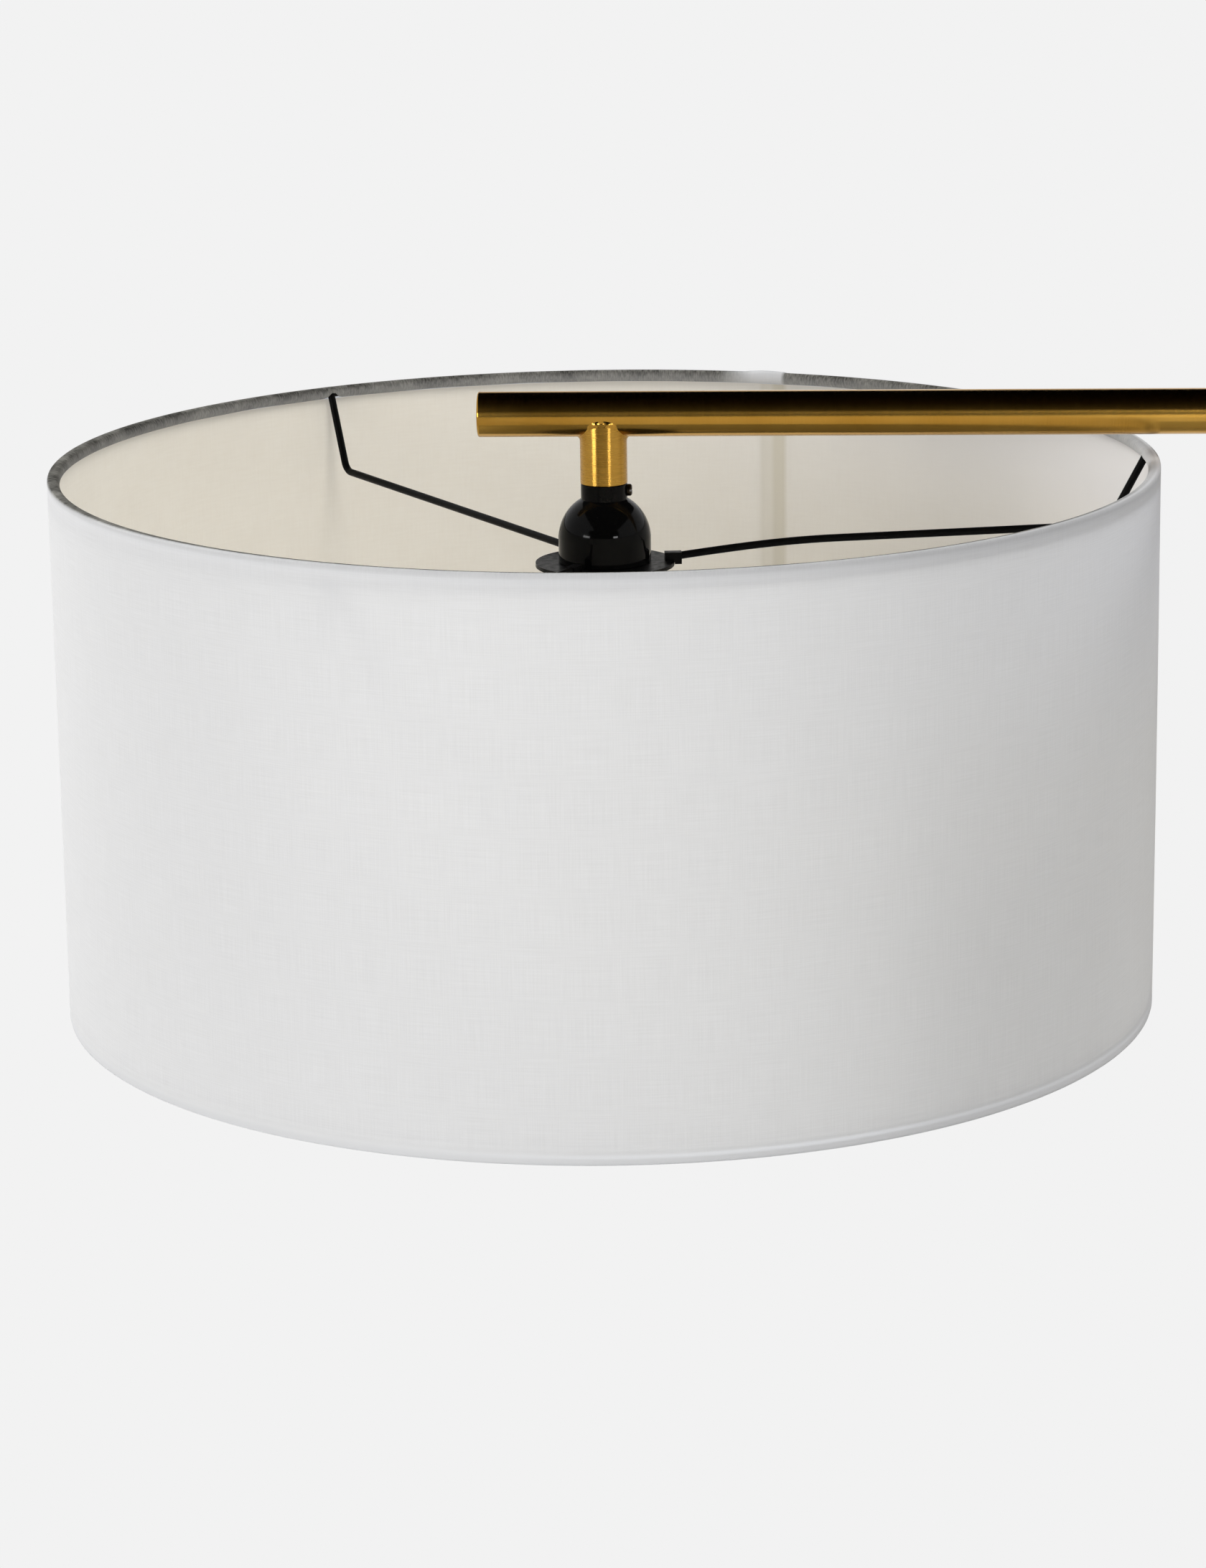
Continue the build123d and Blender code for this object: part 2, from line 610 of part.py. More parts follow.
def shade_skin():
    wall = Plane.XZ * (Pos(SHADE_D / 2 - SKIN_T / 2, (TOP_RING_Z + BOTTOM_RING_Z) / 2) * Rectangle(
        SKIN_T, TOP_RING_Z - BOTTOM_RING_Z))
    section = wall + hem_section(TOP_RING_Z, -HEM_TUCK_DEG) + hem_section(BOTTOM_RING_Z, HEM_TUCK_DEG)
    return at_shade(revolve(section, Axis.Z))


def shade_liner():
    outer_d = SHADE_D - 2 * (SKIN_T + FIT)
    gap = 2 * HEM_R + RUNNING
    return at_shade(ring(outer_d, outer_d - 2 * LINER_T, SHADE_FOOT + gap, SHADE_TOP - gap))


def rim_ring(height):
    return at_shade(Pos(0, 0, height) * Torus(RIM_RING_R, RIM_WIRE_D / 2))


def fitter_ring():
    return at_shade(ring(FITTER_D, SKIRT_D + 2 * RUNNING, FITTER_FOOT, FITTER_TOP))


def fitter_arms():
    foot_start = FITTER_D / 2 - WIRE_FOOT_LAP
    foot_end = foot_start + WIRE_FOOT_L
    wire_z = FITTER_TOP + WIRE_FOOT_H - ARM_WIRE_D / 2
    bend = Vector(SHADE_D / 2 - ARM_WIRE_BEND_IN, 0, SHADE_TOP - ARM_WIRE_BEND_DROP)
    rim = Vector(RIM_RING_R, 0, TOP_RING_Z)
    tip = rim + (bend - rim).normalized() * (HEM_R + RUNNING)
    start = Vector(foot_start + WIRE_FOOT_L / 2, 0, wire_z)
    wire = swept_round(FilletPolyline(start, bend, tip, radius=ARM_WIRE_BEND_R), ARM_WIRE_D)
    pad = Pos(foot_start, 0, FITTER_TOP) * Box(
        WIRE_FOOT_L, WIRE_FOOT_W, WIRE_FOOT_H, align=(Align.MIN, Align.CENTER, Align.MIN))
    lip_l = foot_end - FITTER_D / 2 - FIT
    lip = Pos(foot_end, 0, FITTER_TOP) * Box(
        lip_l, WIRE_FOOT_W, FITTER_T, align=(Align.MAX, Align.CENTER, Align.MAX))
    return [at_shade(arm) for arm in spread(wire + pad + lip, ARM_WIRE_COUNT, ARM_WIRE_FIRST_DEG)]


def shade_nut():
    foot = FITTER_FOOT - SHADE_NUT_H
    nut = disc(SHADE_NUT_D, foot, FITTER_FOOT)
    flute = Pos(SHADE_NUT_D / 2, 0, 0) * disc(SHADE_NUT_FLUTE_D, foot, FITTER_FOOT)
    for cut in spread(flute, SHADE_NUT_FLUTES):
        nut -= cut
    nut += disc(SHADE_NUT_RIM_D, FITTER_FOOT - SHADE_NUT_RIM_H, FITTER_FOOT)
    return at_shade(nut - disc(SKIRT_D + 2 * FIT, foot, FITTER_FOOT))


# Mains lead

def lower_lead():
    path = FilletPolyline(
        (LEAD_START_X, 0, LEAD_Z), (0, 0, LEAD_Z), (0, 0, SWIVEL_SEAT), radius=LEAD_FOOT_BEND_R)
    return swept_round(path, LEAD_D)


def upper_lead():
    path = FilletPolyline(
        (0, 0, SWIVEL_SEAT), (0, 0, ARM_Z), (-REACH, 0, ARM_Z), (-REACH, 0, BLOCK_TOP),
        radius=[BEND_R, LEAD_STEM_BEND_R])
    return swept_round(path, LEAD_D)


PIECES = {
    "foot_pad": foot_pad, "base_weight": base_weight, "base_cover": base_cover, "cord_gland": cord_gland,
    "switch_body": switch_body, "switch_bezel": switch_bezel, "switch_button": switch_button,
    "switch_spring": switch_spring, "flange_screws": flange_screws, "pole_flange": pole_flange,
    "pole_grub_screw": pole_grub_screw, "lower_pole": lower_pole, "pole_joiner": pole_joiner,
    "upper_pole": upper_pole, "swivel_bush": swivel_bush, "swivel_collar": swivel_collar,
    "swivel_screw": swivel_screw, "arc_tube": arc_tube, "arm_joiner": arm_joiner, "arm_tube": arm_tube,
    "arm_end_cap": arm_end_cap, "drop_stem": drop_stem, "stem_plug": stem_plug, "stem_nipple": stem_nipple,
    "socket_cap": socket_cap, "socket_lock_screw": socket_lock_screw, "socket_body": socket_body,
    "contact_block": contact_block, "terminal_screws": terminal_screws, "screw_shell": screw_shell,
    "centre_contact": centre_contact, "bulb_cap": bulb_cap, "bulb_globe": bulb_globe,
    "shade_skin": shade_skin, "shade_liner": shade_liner,
    "top_ring": lambda: rim_ring(TOP_RING_Z), "bottom_ring": lambda: rim_ring(BOTTOM_RING_Z),
    "fitter_ring": fitter_ring, "fitter_arms": fitter_arms, "shade_nut": shade_nut,
    "lower_lead": lower_lead, "upper_lead": upper_lead,
}

os.makedirs("parts", exist_ok=True)
for node, make in PIECES.items():
    piece = make()
    solids = piece if isinstance(piece, list) else [piece]
    export_step(Compound(children=[Solid(s.solid().wrapped) for s in solids]), f"parts/{node}.step")
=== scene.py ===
import math

import bmesh
import bpy
import numpy as np
from mathutils import Matrix, Vector


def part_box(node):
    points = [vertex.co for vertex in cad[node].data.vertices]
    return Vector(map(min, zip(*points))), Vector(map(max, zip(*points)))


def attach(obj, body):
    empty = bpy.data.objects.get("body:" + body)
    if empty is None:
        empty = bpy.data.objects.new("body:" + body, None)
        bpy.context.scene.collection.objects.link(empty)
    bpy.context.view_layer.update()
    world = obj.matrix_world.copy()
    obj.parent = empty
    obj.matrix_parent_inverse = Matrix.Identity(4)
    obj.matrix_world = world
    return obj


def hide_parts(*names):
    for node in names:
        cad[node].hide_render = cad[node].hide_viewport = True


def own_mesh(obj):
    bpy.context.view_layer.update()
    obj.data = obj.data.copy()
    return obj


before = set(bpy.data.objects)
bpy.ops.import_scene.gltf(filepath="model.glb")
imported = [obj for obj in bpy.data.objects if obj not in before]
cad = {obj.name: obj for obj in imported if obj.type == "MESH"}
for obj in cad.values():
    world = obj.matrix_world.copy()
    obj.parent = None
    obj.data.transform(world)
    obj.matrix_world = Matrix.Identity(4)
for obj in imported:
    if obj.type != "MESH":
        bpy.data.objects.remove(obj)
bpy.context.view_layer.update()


# Foot pad
# A disc punched from dark needled felt and glued under the iron, so that the base doesn't mark the
# floor.

def linear(hex_colour):
    """An sRGB hex colour as the linear RGBA that shader sockets take."""
    parts = [int(hex_colour[i:i + 2], 16) / 255 for i in (1, 3, 5)]
    return [c / 12.92 if c <= 0.04045 else ((c + 0.055) / 1.055) ** 2.4 for c in parts] + [1.0]


def node(tree, kind, inputs=None, **settings):
    """Adds a shader node with its settings; an input is a value, or another node's output to link."""
    made = tree.nodes.new(kind)
    for name, value in settings.items():
        setattr(made, name, value)
    for key, value in (inputs or {}).items():
        if isinstance(value, bpy.types.NodeSocket):
            tree.links.new(value, made.inputs[key])
        else:
            made.inputs[key].default_value = value
    return made


def new_material(name, **sockets):
    """A material whose Principled shader has these plain values; gives its tree and shader too."""
    material = bpy.data.materials.new(name)
    material.use_nodes = True
    shader = material.node_tree.nodes["Principled BSDF"]
    for key, value in sockets.items():
        shader.inputs[key.replace("_", " ")].default_value = value
    return material, material.node_tree, shader


def dress(material, *names):
    """Gives a material to CAD nodes."""
    for name in names:
        cad[name].material_slots[0].material = material


def needled_felt():
    """Short matted fibres: no gloss at all, and a fuzzy grain. Real fibres are far too fine to show, so
    they are drawn coarser."""
    material, tree, shader = new_material("needled_felt", Roughness=0.95, Sheen_Weight=0.3)
    fibre_mm = 0.7
    place = node(tree, "ShaderNodeTexCoord").outputs["Object"]
    fibres = node(tree, "ShaderNodeTexNoise", {"Vector": place, "Scale": 1000 / fibre_mm, "Detail": 4.0})
    tone = node(tree, "ShaderNodeMix", {0: fibres.outputs[0], 6: linear("#1E1E1F"), 7: linear("#3A3A3C")},
                data_type="RGBA")
    fuzz = node(tree, "ShaderNodeBump", {"Height": fibres.outputs[0], "Strength": 0.6, "Distance": 0.0004})
    tree.links.new(tone.outputs[2], shader.inputs["Base Color"])
    tree.links.new(fuzz.outputs[0], shader.inputs["Normal"])
    return material


dress(needled_felt(), "foot_pad")


# Base weight
# A sand-cast iron disc that keeps the lamp upright, with a wire channel and a pocket for the switch.
# It lies under the cover, and is seen only through the cord inlet and in the channel.

def cast_iron():
    """Left as cast: dark and dull, with the sand's rough skin."""
    material, tree, shader = new_material("cast_iron", Metallic=1.0)
    sand_mm = 0.9
    place = node(tree, "ShaderNodeTexCoord").outputs["Object"]
    sand = node(tree, "ShaderNodeTexNoise", {"Vector": place, "Scale": 1000 / sand_mm, "Detail": 5.0})
    tone = node(tree, "ShaderNodeMix", {0: sand.outputs[0], 6: linear("#39383A"), 7: linear("#5A585A")},
                data_type="RGBA")
    rough = node(tree, "ShaderNodeMapRange", {"Value": sand.outputs[0], 3: 0.55, 4: 0.8})
    skin = node(tree, "ShaderNodeBump", {"Height": sand.outputs[0], "Strength": 0.7, "Distance": 0.0003})
    tree.links.new(tone.outputs[2], shader.inputs["Base Color"])
    tree.links.new(rough.outputs[0], shader.inputs["Roughness"])
    tree.links.new(skin.outputs[0], shader.inputs["Normal"])
    return material


dress(cast_iron(), "base_weight")


# Base cover, pole flange, pole and swivel collar
# A spun cover, drawn tubes and turned fittings, screwed together, with a darkened brass plating that is
# brushed round each piece's axis and lacquered clear.

def antique_brass(name, coordinates, grain_mm, centre=(0.0, 0.0, 0.0), rings=False, depth=0.03,
                  gloss=(0.2, 0.27), stretch=0.7, wear=0.2, grain_depth=0.08):
    """Brushed brass: fine marks that stretch the highlights, under a cloudy, darkened tone.
    grain_mm is the marks' size along each axis, or with rings, out from centre; gloss is the range of
    roughness, stretch how far highlights are drawn out, wear the dark pits and grain_depth the grit left
    by the darkening. Real marks and grit are finer than a pixel, so both are drawn coarser."""
    material, tree, shader = new_material(name, Metallic=1.0, Anisotropic=stretch,
                                          Anisotropic_Rotation=0.25)
    place = node(tree, "ShaderNodeTexCoord").outputs[coordinates]
    place = node(tree, "ShaderNodeVectorMath", {0: place, 1: centre}, operation="SUBTRACT").outputs[0]
    brushed = place
    if rings:
        apart = node(tree, "ShaderNodeSeparateXYZ", {0: place})
        flat = node(tree, "ShaderNodeCombineXYZ", {0: apart.outputs[0], 1: apart.outputs[1]})
        radius = node(tree, "ShaderNodeVectorMath", {0: flat.outputs[0]}, operation="LENGTH")
        turned = node(tree, "ShaderNodeCombineXYZ", {0: radius.outputs["Value"], 2: apart.outputs[2]})
        brushed = turned.outputs[0]
    marks = node(tree, "ShaderNodeMapping",
                 {"Vector": brushed, "Scale": [1000 / size for size in grain_mm]})
    brush = node(tree, "ShaderNodeTexNoise", {"Vector": marks.outputs[0], "Scale": 1.0, "Detail": 3.0})
    cloud_mm, grit_mm, pit_mm = 26, 0.5, 1.6
    cloud = node(tree, "ShaderNodeTexNoise", {"Vector": place, "Scale": 1000 / cloud_mm, "Detail": 4.0})
    grit = node(tree, "ShaderNodeTexNoise", {"Vector": place, "Scale": 1000 / grit_mm, "Detail": 2.0})
    pits = node(tree, "ShaderNodeTexNoise", {"Vector": place, "Scale": 1000 / pit_mm, "Detail": 3.0})
    mottle = node(tree, "ShaderNodeMapRange", {"Value": cloud.outputs[0], 1: 0.3, 2: 0.7})
    tone = node(tree, "ShaderNodeMix", {0: mottle.outputs[0], 6: linear("#BA8D3B"), 7: linear("#C69A47")},
                data_type="RGBA")
    streak = node(tree, "ShaderNodeMapRange", {"Value": brush.outputs[0], 1: 0.3, 2: 0.7, 3: 0.0, 4: 0.14})
    lined = node(tree, "ShaderNodeMix", {0: streak.outputs[0], 6: tone.outputs[2], 7: linear("#6E4E1C")},
                 data_type="RGBA")
    pitted = node(tree, "ShaderNodeMapRange", {"Value": pits.outputs[0], 1: 0.71, 2: 0.76, 3: 0.0, 4: wear})
    worn = node(tree, "ShaderNodeMix", {0: pitted.outputs[0], 6: lined.outputs[2], 7: linear("#2E2210")},
                data_type="RGBA")
    rough = node(tree, "ShaderNodeMapRange",
                 {"Value": brush.outputs[0], 1: 0.3, 2: 0.7, 3: gloss[0], 4: gloss[1]})
    relief = node(tree, "ShaderNodeBump",
                  {"Height": brush.outputs[0], "Strength": depth, "Distance": 0.0001})
    grain = node(tree, "ShaderNodeBump", {"Height": grit.outputs[0], "Strength": grain_depth,
                                          "Distance": 0.0001, "Normal": relief.outputs[0]})
    if coordinates == "UV":
        round_axis = node(tree, "ShaderNodeTangent", direction_type="UV_MAP", uv_map="UVMap")
    else:
        round_axis = node(tree, "ShaderNodeTangent", direction_type="RADIAL", axis="Z")
    tree.links.new(round_axis.outputs[0], shader.inputs["Tangent"])
    tree.links.new(worn.outputs[2], shader.inputs["Base Color"])
    tree.links.new(rough.outputs[0], shader.inputs["Roughness"])
    tree.links.new(grain.outputs[0], shader.inputs["Normal"])
    return material


spun_brass = antique_brass("spun_antique_brass", "Object", grain_mm=(0.5, 0.5, 0.5), rings=True)
dress(spun_brass, "base_cover", "pole_flange", "pole_joiner", "swivel_collar")
drawn_brass = antique_brass("drawn_antique_brass", "Object", grain_mm=(40.0, 40.0, 0.4))
dress(drawn_brass, "lower_pole", "upper_pole")
knurled_brass = antique_brass("knurled_antique_brass", "Object", grain_mm=(0.4, 8.0, 8.0), stretch=0.0)
dress(knurled_brass, "swivel_screw")


# Base screws, joiners and nipples
# Turned steel with a zinc plating, screwed or pressed in, out of sight inside the base, the tubes and
# the stem. The switch's wire spring has the same plating.

def zinc_plated_steel():
    """Pale grey metal with a faint, cloudy bloom."""
    material, tree, shader = new_material("zinc_plated_steel", Metallic=1.0)
    bloom_mm = 3.0
    place = node(tree, "ShaderNodeTexCoord").outputs["Object"]
    bloom = node(tree, "ShaderNodeTexNoise", {"Vector": place, "Scale": 1000 / bloom_mm, "Detail": 4.0})
    tone = node(tree, "ShaderNodeMix", {0: bloom.outputs[0], 6: linear("#A9AAAC"), 7: linear("#C6C7C9")},
                data_type="RGBA")
    rough = node(tree, "ShaderNodeMapRange", {"Value": bloom.outputs[0], 3: 0.28, 4: 0.45})
    tree.links.new(tone.outputs[2], shader.inputs["Base Color"])
    tree.links.new(rough.outputs[0], shader.inputs["Roughness"])
    return material


dress(zinc_plated_steel(), "flange_screws", "pole_grub_screw", "arm_joiner", "stem_plug", "stem_nipple",
      "switch_spring")


# Foot switch and cord inlet
# A push switch moulded in black phenolic, clamped in the cover by a brass bezel, with a coil spring that
# shortens under the button; a rubber bushing snaps into the cover's side for the cord.

def moulded_black(name, base, worn, roughness, skin_mm):
    """A black moulding with its mould's gloss, dulled in smears: base and worn are its two tones, and
    skin_mm is the texture of the mould."""
    material, tree, shader = new_material(name, IOR=1.58, Specular_IOR_Level=0.06)
    place = node(tree, "ShaderNodeTexCoord").outputs["Object"]
    skin = node(tree, "ShaderNodeTexNoise", {"Vector": place, "Scale": 1000 / skin_mm, "Detail": 4.0})
    smear_mm = 14
    smear = node(tree, "ShaderNodeTexNoise", {"Vector": place, "Scale": 1000 / smear_mm, "Detail": 3.0})
    tone = node(tree, "ShaderNodeMix", {0: smear.outputs[0], 6: linear(base), 7: linear(worn)},
                data_type="RGBA")
    rough = node(tree, "ShaderNodeMapRange",
                 {"Value": smear.outputs[0], 1: 0.3, 2: 0.7, 3: roughness, 4: roughness * 1.6})
    relief = node(tree, "ShaderNodeBump", {"Height": skin.outputs[0], "Strength": 0.05, "Distance": 0.0002})
    tree.links.new(tone.outputs[2], shader.inputs["Base Color"])
    tree.links.new(rough.outputs[0], shader.inputs["Roughness"])
    tree.links.new(relief.outputs[0], shader.inputs["Normal"])
    return material


black_phenolic = moulded_black("black_phenolic", "#040404", "#090909", roughness=0.07, skin_mm=6.0)
dress(black_phenolic, "switch_body")
satin_phenolic = moulded_black("satin_phenolic", "#121213", "#1E1E1F", roughness=0.32, skin_mm=0.8)
dress(satin_phenolic, "switch_button")
black_rubber = moulded_black("black_rubber", "#161616", "#232323", roughness=0.6, skin_mm=0.5)
dress(black_rubber, "cord_gland")
switch_low, switch_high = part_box("switch_bezel")
switch_x = (switch_low.x + switch_high.x) / 2
bezel_brass = antique_brass("turned_antique_brass", "Object", grain_mm=(0.4, 0.4, 0.4),
                            centre=(switch_x, 0, 0), rings=True)
dress(bezel_brass, "switch_bezel")

return_spring = bpy.data.objects.new("return_spring", cad["switch_spring"].data.copy())
bpy.context.scene.collection.objects.link(return_spring)
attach(return_spring, "stand")
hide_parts("switch_spring")
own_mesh(return_spring)


# Swivel bush
# A sleeve moulded in black acetal and pressed into the collar, so that the arc turns without scraping.
# Acetal is a little waxy, with a soft, wide gloss.

black_acetal = moulded_black("black_acetal", "#151516", "#202021", roughness=0.4, skin_mm=1.5)
dress(black_acetal, "swivel_bush")


# Mains lead
# Wires in a round cream vinyl sheath, drawn through the pole, arc and arm to the socket.
# It lies wholly inside the tubes.

def vinyl_sheath():
    """Extruded vinyl: smooth, with a soft gloss that dust breaks up."""
    material, tree, shader = new_material("vinyl_sheath")
    dust_mm = 5.0
    place = node(tree, "ShaderNodeTexCoord").outputs["Object"]
    dust = node(tree, "ShaderNodeTexNoise", {"Vector": place, "Scale": 1000 / dust_mm, "Detail": 3.0})
    tone = node(tree, "ShaderNodeMix", {0: dust.outputs[0], 6: linear("#D9D3C2"), 7: linear("#E9E4D6")},
                data_type="RGBA")
    rough = node(tree, "ShaderNodeMapRange", {"Value": dust.outputs[0], 3: 0.4, 4: 0.55})
    tree.links.new(tone.outputs[2], shader.inputs["Base Color"])
    tree.links.new(rough.outputs[0], shader.inputs["Roughness"])
    return material


dress(vinyl_sheath(), "lower_lead", "upper_lead")


# Arc tube
# A drawn tube bent once from upright to level. It drops into the swivel at its foot and takes the
# straight arm on an inner sleeve at its other end, where only a hairline joint shows.

SAME_POINT = 1e-7


def skinned(name, rows):
    """A smooth mesh skinned over closed rows of points, with a UV map in metres round and along them.
    A row whose points all meet closes an end."""
    rows = np.asarray(rows, float)
    count, around = rows.shape[:2]
    middle = rows[count // 2]
    u = np.concatenate([[0], np.cumsum(np.linalg.norm(np.roll(middle, -1, 0) - middle, axis=1))])
    v = np.concatenate([[0], np.cumsum(np.linalg.norm(np.diff(rows[:, 0], axis=0), axis=1))])
    faces, corners = [], []
    for i in range(count - 1):
        for j in range(around):
            k = (j + 1) % around
            faces.append((i * around + j, i * around + k, (i + 1) * around + k, (i + 1) * around + j))
            corners += [(u[j], v[i]), (u[j + 1], v[i]), (u[j + 1], v[i + 1]), (u[j], v[i + 1])]
    mesh = bpy.data.meshes.new(name)
    mesh.from_pydata(rows.reshape(-1, 3).tolist(), [], faces)
    mesh.uv_layers.new(name="UVMap").data.foreach_set("uv", np.array(corners).ravel())
    clean = bmesh.new()
    clean.from_mesh(mesh)
    bmesh.ops.remove_doubles(clean, verts=clean.verts, dist=SAME_POINT)
    clean.to_mesh(mesh)
    clean.free()
    mesh.shade_smooth()
    made = bpy.data.objects.new(name, mesh)
    bpy.context.scene.collection.objects.link(made)
    return made


def round_path(points, radius, steps):
    """Points along straight runs with their corners rounded to one radius."""
    points = [Vector(p) for p in points]
    path = [points[0]]
    for before, corner, after in zip(points, points[1:], points[2:]):
        into, out = (corner - before).normalized(), (after - corner).normalized()
        turn = into.angle(out)
        reach = radius * math.tan(turn / 2)
        centre = corner + (out - into).normalized() * radius / math.cos(turn / 2)
        start = corner - into * reach - centre
        axis = into.cross(out).normalized()
        for i in range(steps + 1):
            path.append(centre + Matrix.Rotation(turn * i / steps, 3, axis) @ start)
    return path + [points[-1]]


def tube_rows(path, radii, side, around):
    """Rings of points about a path that lies in one plane, whose normal is side."""
    points = np.array([list(p) for p in path])
    along = np.gradient(points, axis=0)
    along /= np.linalg.norm(along, axis=1)[:, None]
    side = np.array(side, float)
    across = np.cross(side, along)
    angle = np.linspace(0, 2 * np.pi, around, endpoint=False)
    reach = np.broadcast_to(np.asarray(radii, float), (len(points),))
    ring = np.cos(angle)[None, :, None] * across[:, None, :] + np.sin(angle)[None, :, None] * side
    return points[:, None, :] + reach[:, None, None] * ring


arc_low, arc_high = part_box("arc_tube")
tube_radius = (arc_high.y - arc_low.y) / 2
arm_z = arc_high.z - tube_radius
arm_joint_x = arc_low.x
BEND_RADIUS = 0.300
BEND_STEPS = 72
TUBE_SIDES = 64
EDGE_BREAK = 0.0003
arc_path = round_path([(0, 0, arc_low.z), (0, 0, arm_z), (arm_joint_x, 0, arm_z)], BEND_RADIUS, BEND_STEPS)
arc_path.insert(-1, arc_path[-1] + Vector((EDGE_BREAK, 0, 0)))
arc_radii = [tube_radius] * (len(arc_path) - 1) + [tube_radius - EDGE_BREAK]
arc = skinned("arc", tube_rows(arc_path, arc_radii, (0, 1, 0), TUBE_SIDES))
tube_brass = antique_brass("brushed_antique_brass", "UV", grain_mm=(30.0, 0.5, 1.0), gloss=(0.18, 0.24),
                           stretch=0.8, wear=0.5, grain_depth=0.16)
arc.data.materials.append(tube_brass)
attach(arc, "arm")
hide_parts("arc_tube")


# Arm
# The straight tube that carries the shade. Its free end is closed by a welded disc, ground flush and
# eased at the edge, so that tube and disc read as one piece.

arm_end_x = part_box("arm_end_cap")[0].x
END_EDGE = 0.0009
EASE_STEPS = 6
DISC_RINGS = (0.0, 0.4, 0.8)
ARM_STEPS = 24
ease = [math.radians(90 * i / EASE_STEPS) for i in range(EASE_STEPS + 1)]
arm_outline = [(arm_end_x, share * tube_radius) for share in DISC_RINGS]
arm_outline += [(arm_end_x + END_EDGE * (1 - math.cos(a)), tube_radius - END_EDGE * (1 - math.sin(a)))
                for a in ease]
arm_outline += [(arm_end_x + (arm_joint_x - arm_end_x) * i / ARM_STEPS, tube_radius)
                for i in range(1, ARM_STEPS)]
arm_outline += [(arm_joint_x - EDGE_BREAK, tube_radius), (arm_joint_x, tube_radius - EDGE_BREAK)]
turns = np.linspace(0, 2 * np.pi, TUBE_SIDES, endpoint=False)
arm_rows = [[(x, radius * math.cos(a), arm_z + radius * math.sin(a)) for a in turns]
            for x, radius in arm_outline]
arm = skinned("arm", arm_rows)
arm.data.materials.append(tube_brass)
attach(arm, "arm")
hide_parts("arm_tube", "arm_end_cap")


# Drop stem and its weld
# A short tube, coped to a saddle and welded under the arm; the bead is ground a little and plated
# with the rest, so it keeps a lumpy, brighter edge. The socket screws on a nipple inside.

stem_low, stem_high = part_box("drop_stem")
shade_x = (stem_low.x + stem_high.x) / 2
stem_radius = (stem_high.x - stem_low.x) / 2
stem_brass = antique_brass("stem_antique_brass", "Object", grain_mm=(30.0, 30.0, 0.35),
                           centre=(shade_x, 0, 0), depth=0.3, gloss=(0.23, 0.31), stretch=1.0, wear=0.5)
dress(stem_brass, "drop_stem")
SADDLE_RADIUS = 0.0103
WELD_LEG = 0.0012
WELD_PROUD = 0.0005
WELD_CLEAR = 0.00003
WELD_STEPS = 8
WELD_SIDES = 200
LUMP_SHARE = 0.35
RIPPLE_SHARE = 0.2
CREST_LIFT = 0.6
BLOW_HOLE = math.radians(268)
BLOW_HOLE_WIDTH = math.radians(8)
BLOW_HOLE_DEPTH = 2.6
saddle_z = stem_high.z - SADDLE_RADIUS


def angle_gap(a, b):
    """The signed angle from b to a, from minus to plus half a turn."""
    return (a - b + math.pi) % (2 * math.pi) - math.pi


def nearness(angle, middle, width):
    """1 at the middle angle, falling off like a bell over the width to each side."""
    return math.exp(-(angle_gap(angle, middle) / width) ** 2)


def weld_section(angle):
    """The weld's outline at one angle round the stem: up its wall, over the seam and on to the arm."""
    out = Vector((math.cos(angle), math.sin(angle), 0))
    seam_z = saddle_z + math.sqrt(SADDLE_RADIUS ** 2 - (stem_radius * out.x) ** 2)
    seam = Vector((shade_x, 0, seam_z)) + out * stem_radius
    lump = LUMP_SHARE * math.sin(9 * angle) * math.sin(4 * angle + 1.3)
    lump += RIPPLE_SHARE * math.sin(23 * angle)
    hole = BLOW_HOLE_DEPTH * nearness(angle, BLOW_HOLE, BLOW_HOLE_WIDTH)
    foot = seam - Vector((0, 0, WELD_LEG)) + out * WELD_CLEAR
    beyond = seam + WELD_LEG * Vector((out.x, 0, abs(out.y)))
    from_axis = Vector((0, beyond.y, beyond.z - arm_z))
    landing = Vector((beyond.x, 0, arm_z)) + from_axis.normalized() * tube_radius
    crest = seam + (out + Vector((0, 0, CREST_LIFT))) * WELD_PROUD * (abs(out.y) * (1 + lump) - hole)
    outline = []
    for i in range(WELD_STEPS + 1):
        t = i / WELD_STEPS
        outline.append((1 - t) ** 2 * foot + 2 * t * (1 - t) * crest + t ** 2 * landing)
    return outline


weld_turns = np.linspace(0, 2 * np.pi, WELD_SIDES, endpoint=False)
weld_rows = np.array([[list(q) for q in weld_section(a)] for a in weld_turns]).transpose(1, 0, 2)
weld_bead = skinned("weld_bead", weld_rows)
weld_brass = antique_brass("weld_antique_brass", "Object", grain_mm=(1.2, 1.2, 1.2), stretch=0.0, wear=0.6)
weld_bead.data.materials.append(weld_brass)
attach(weld_bead, "arm")


# Lamp socket
# A keyless socket in two black phenolic mouldings, a domed cap and a threaded body, joined at a fine
# seam, with a bronzed screw that locks the neck on its nipple. Its polished moulds leave it glossy.

dress(black_phenolic, "socket_cap", "socket_body")


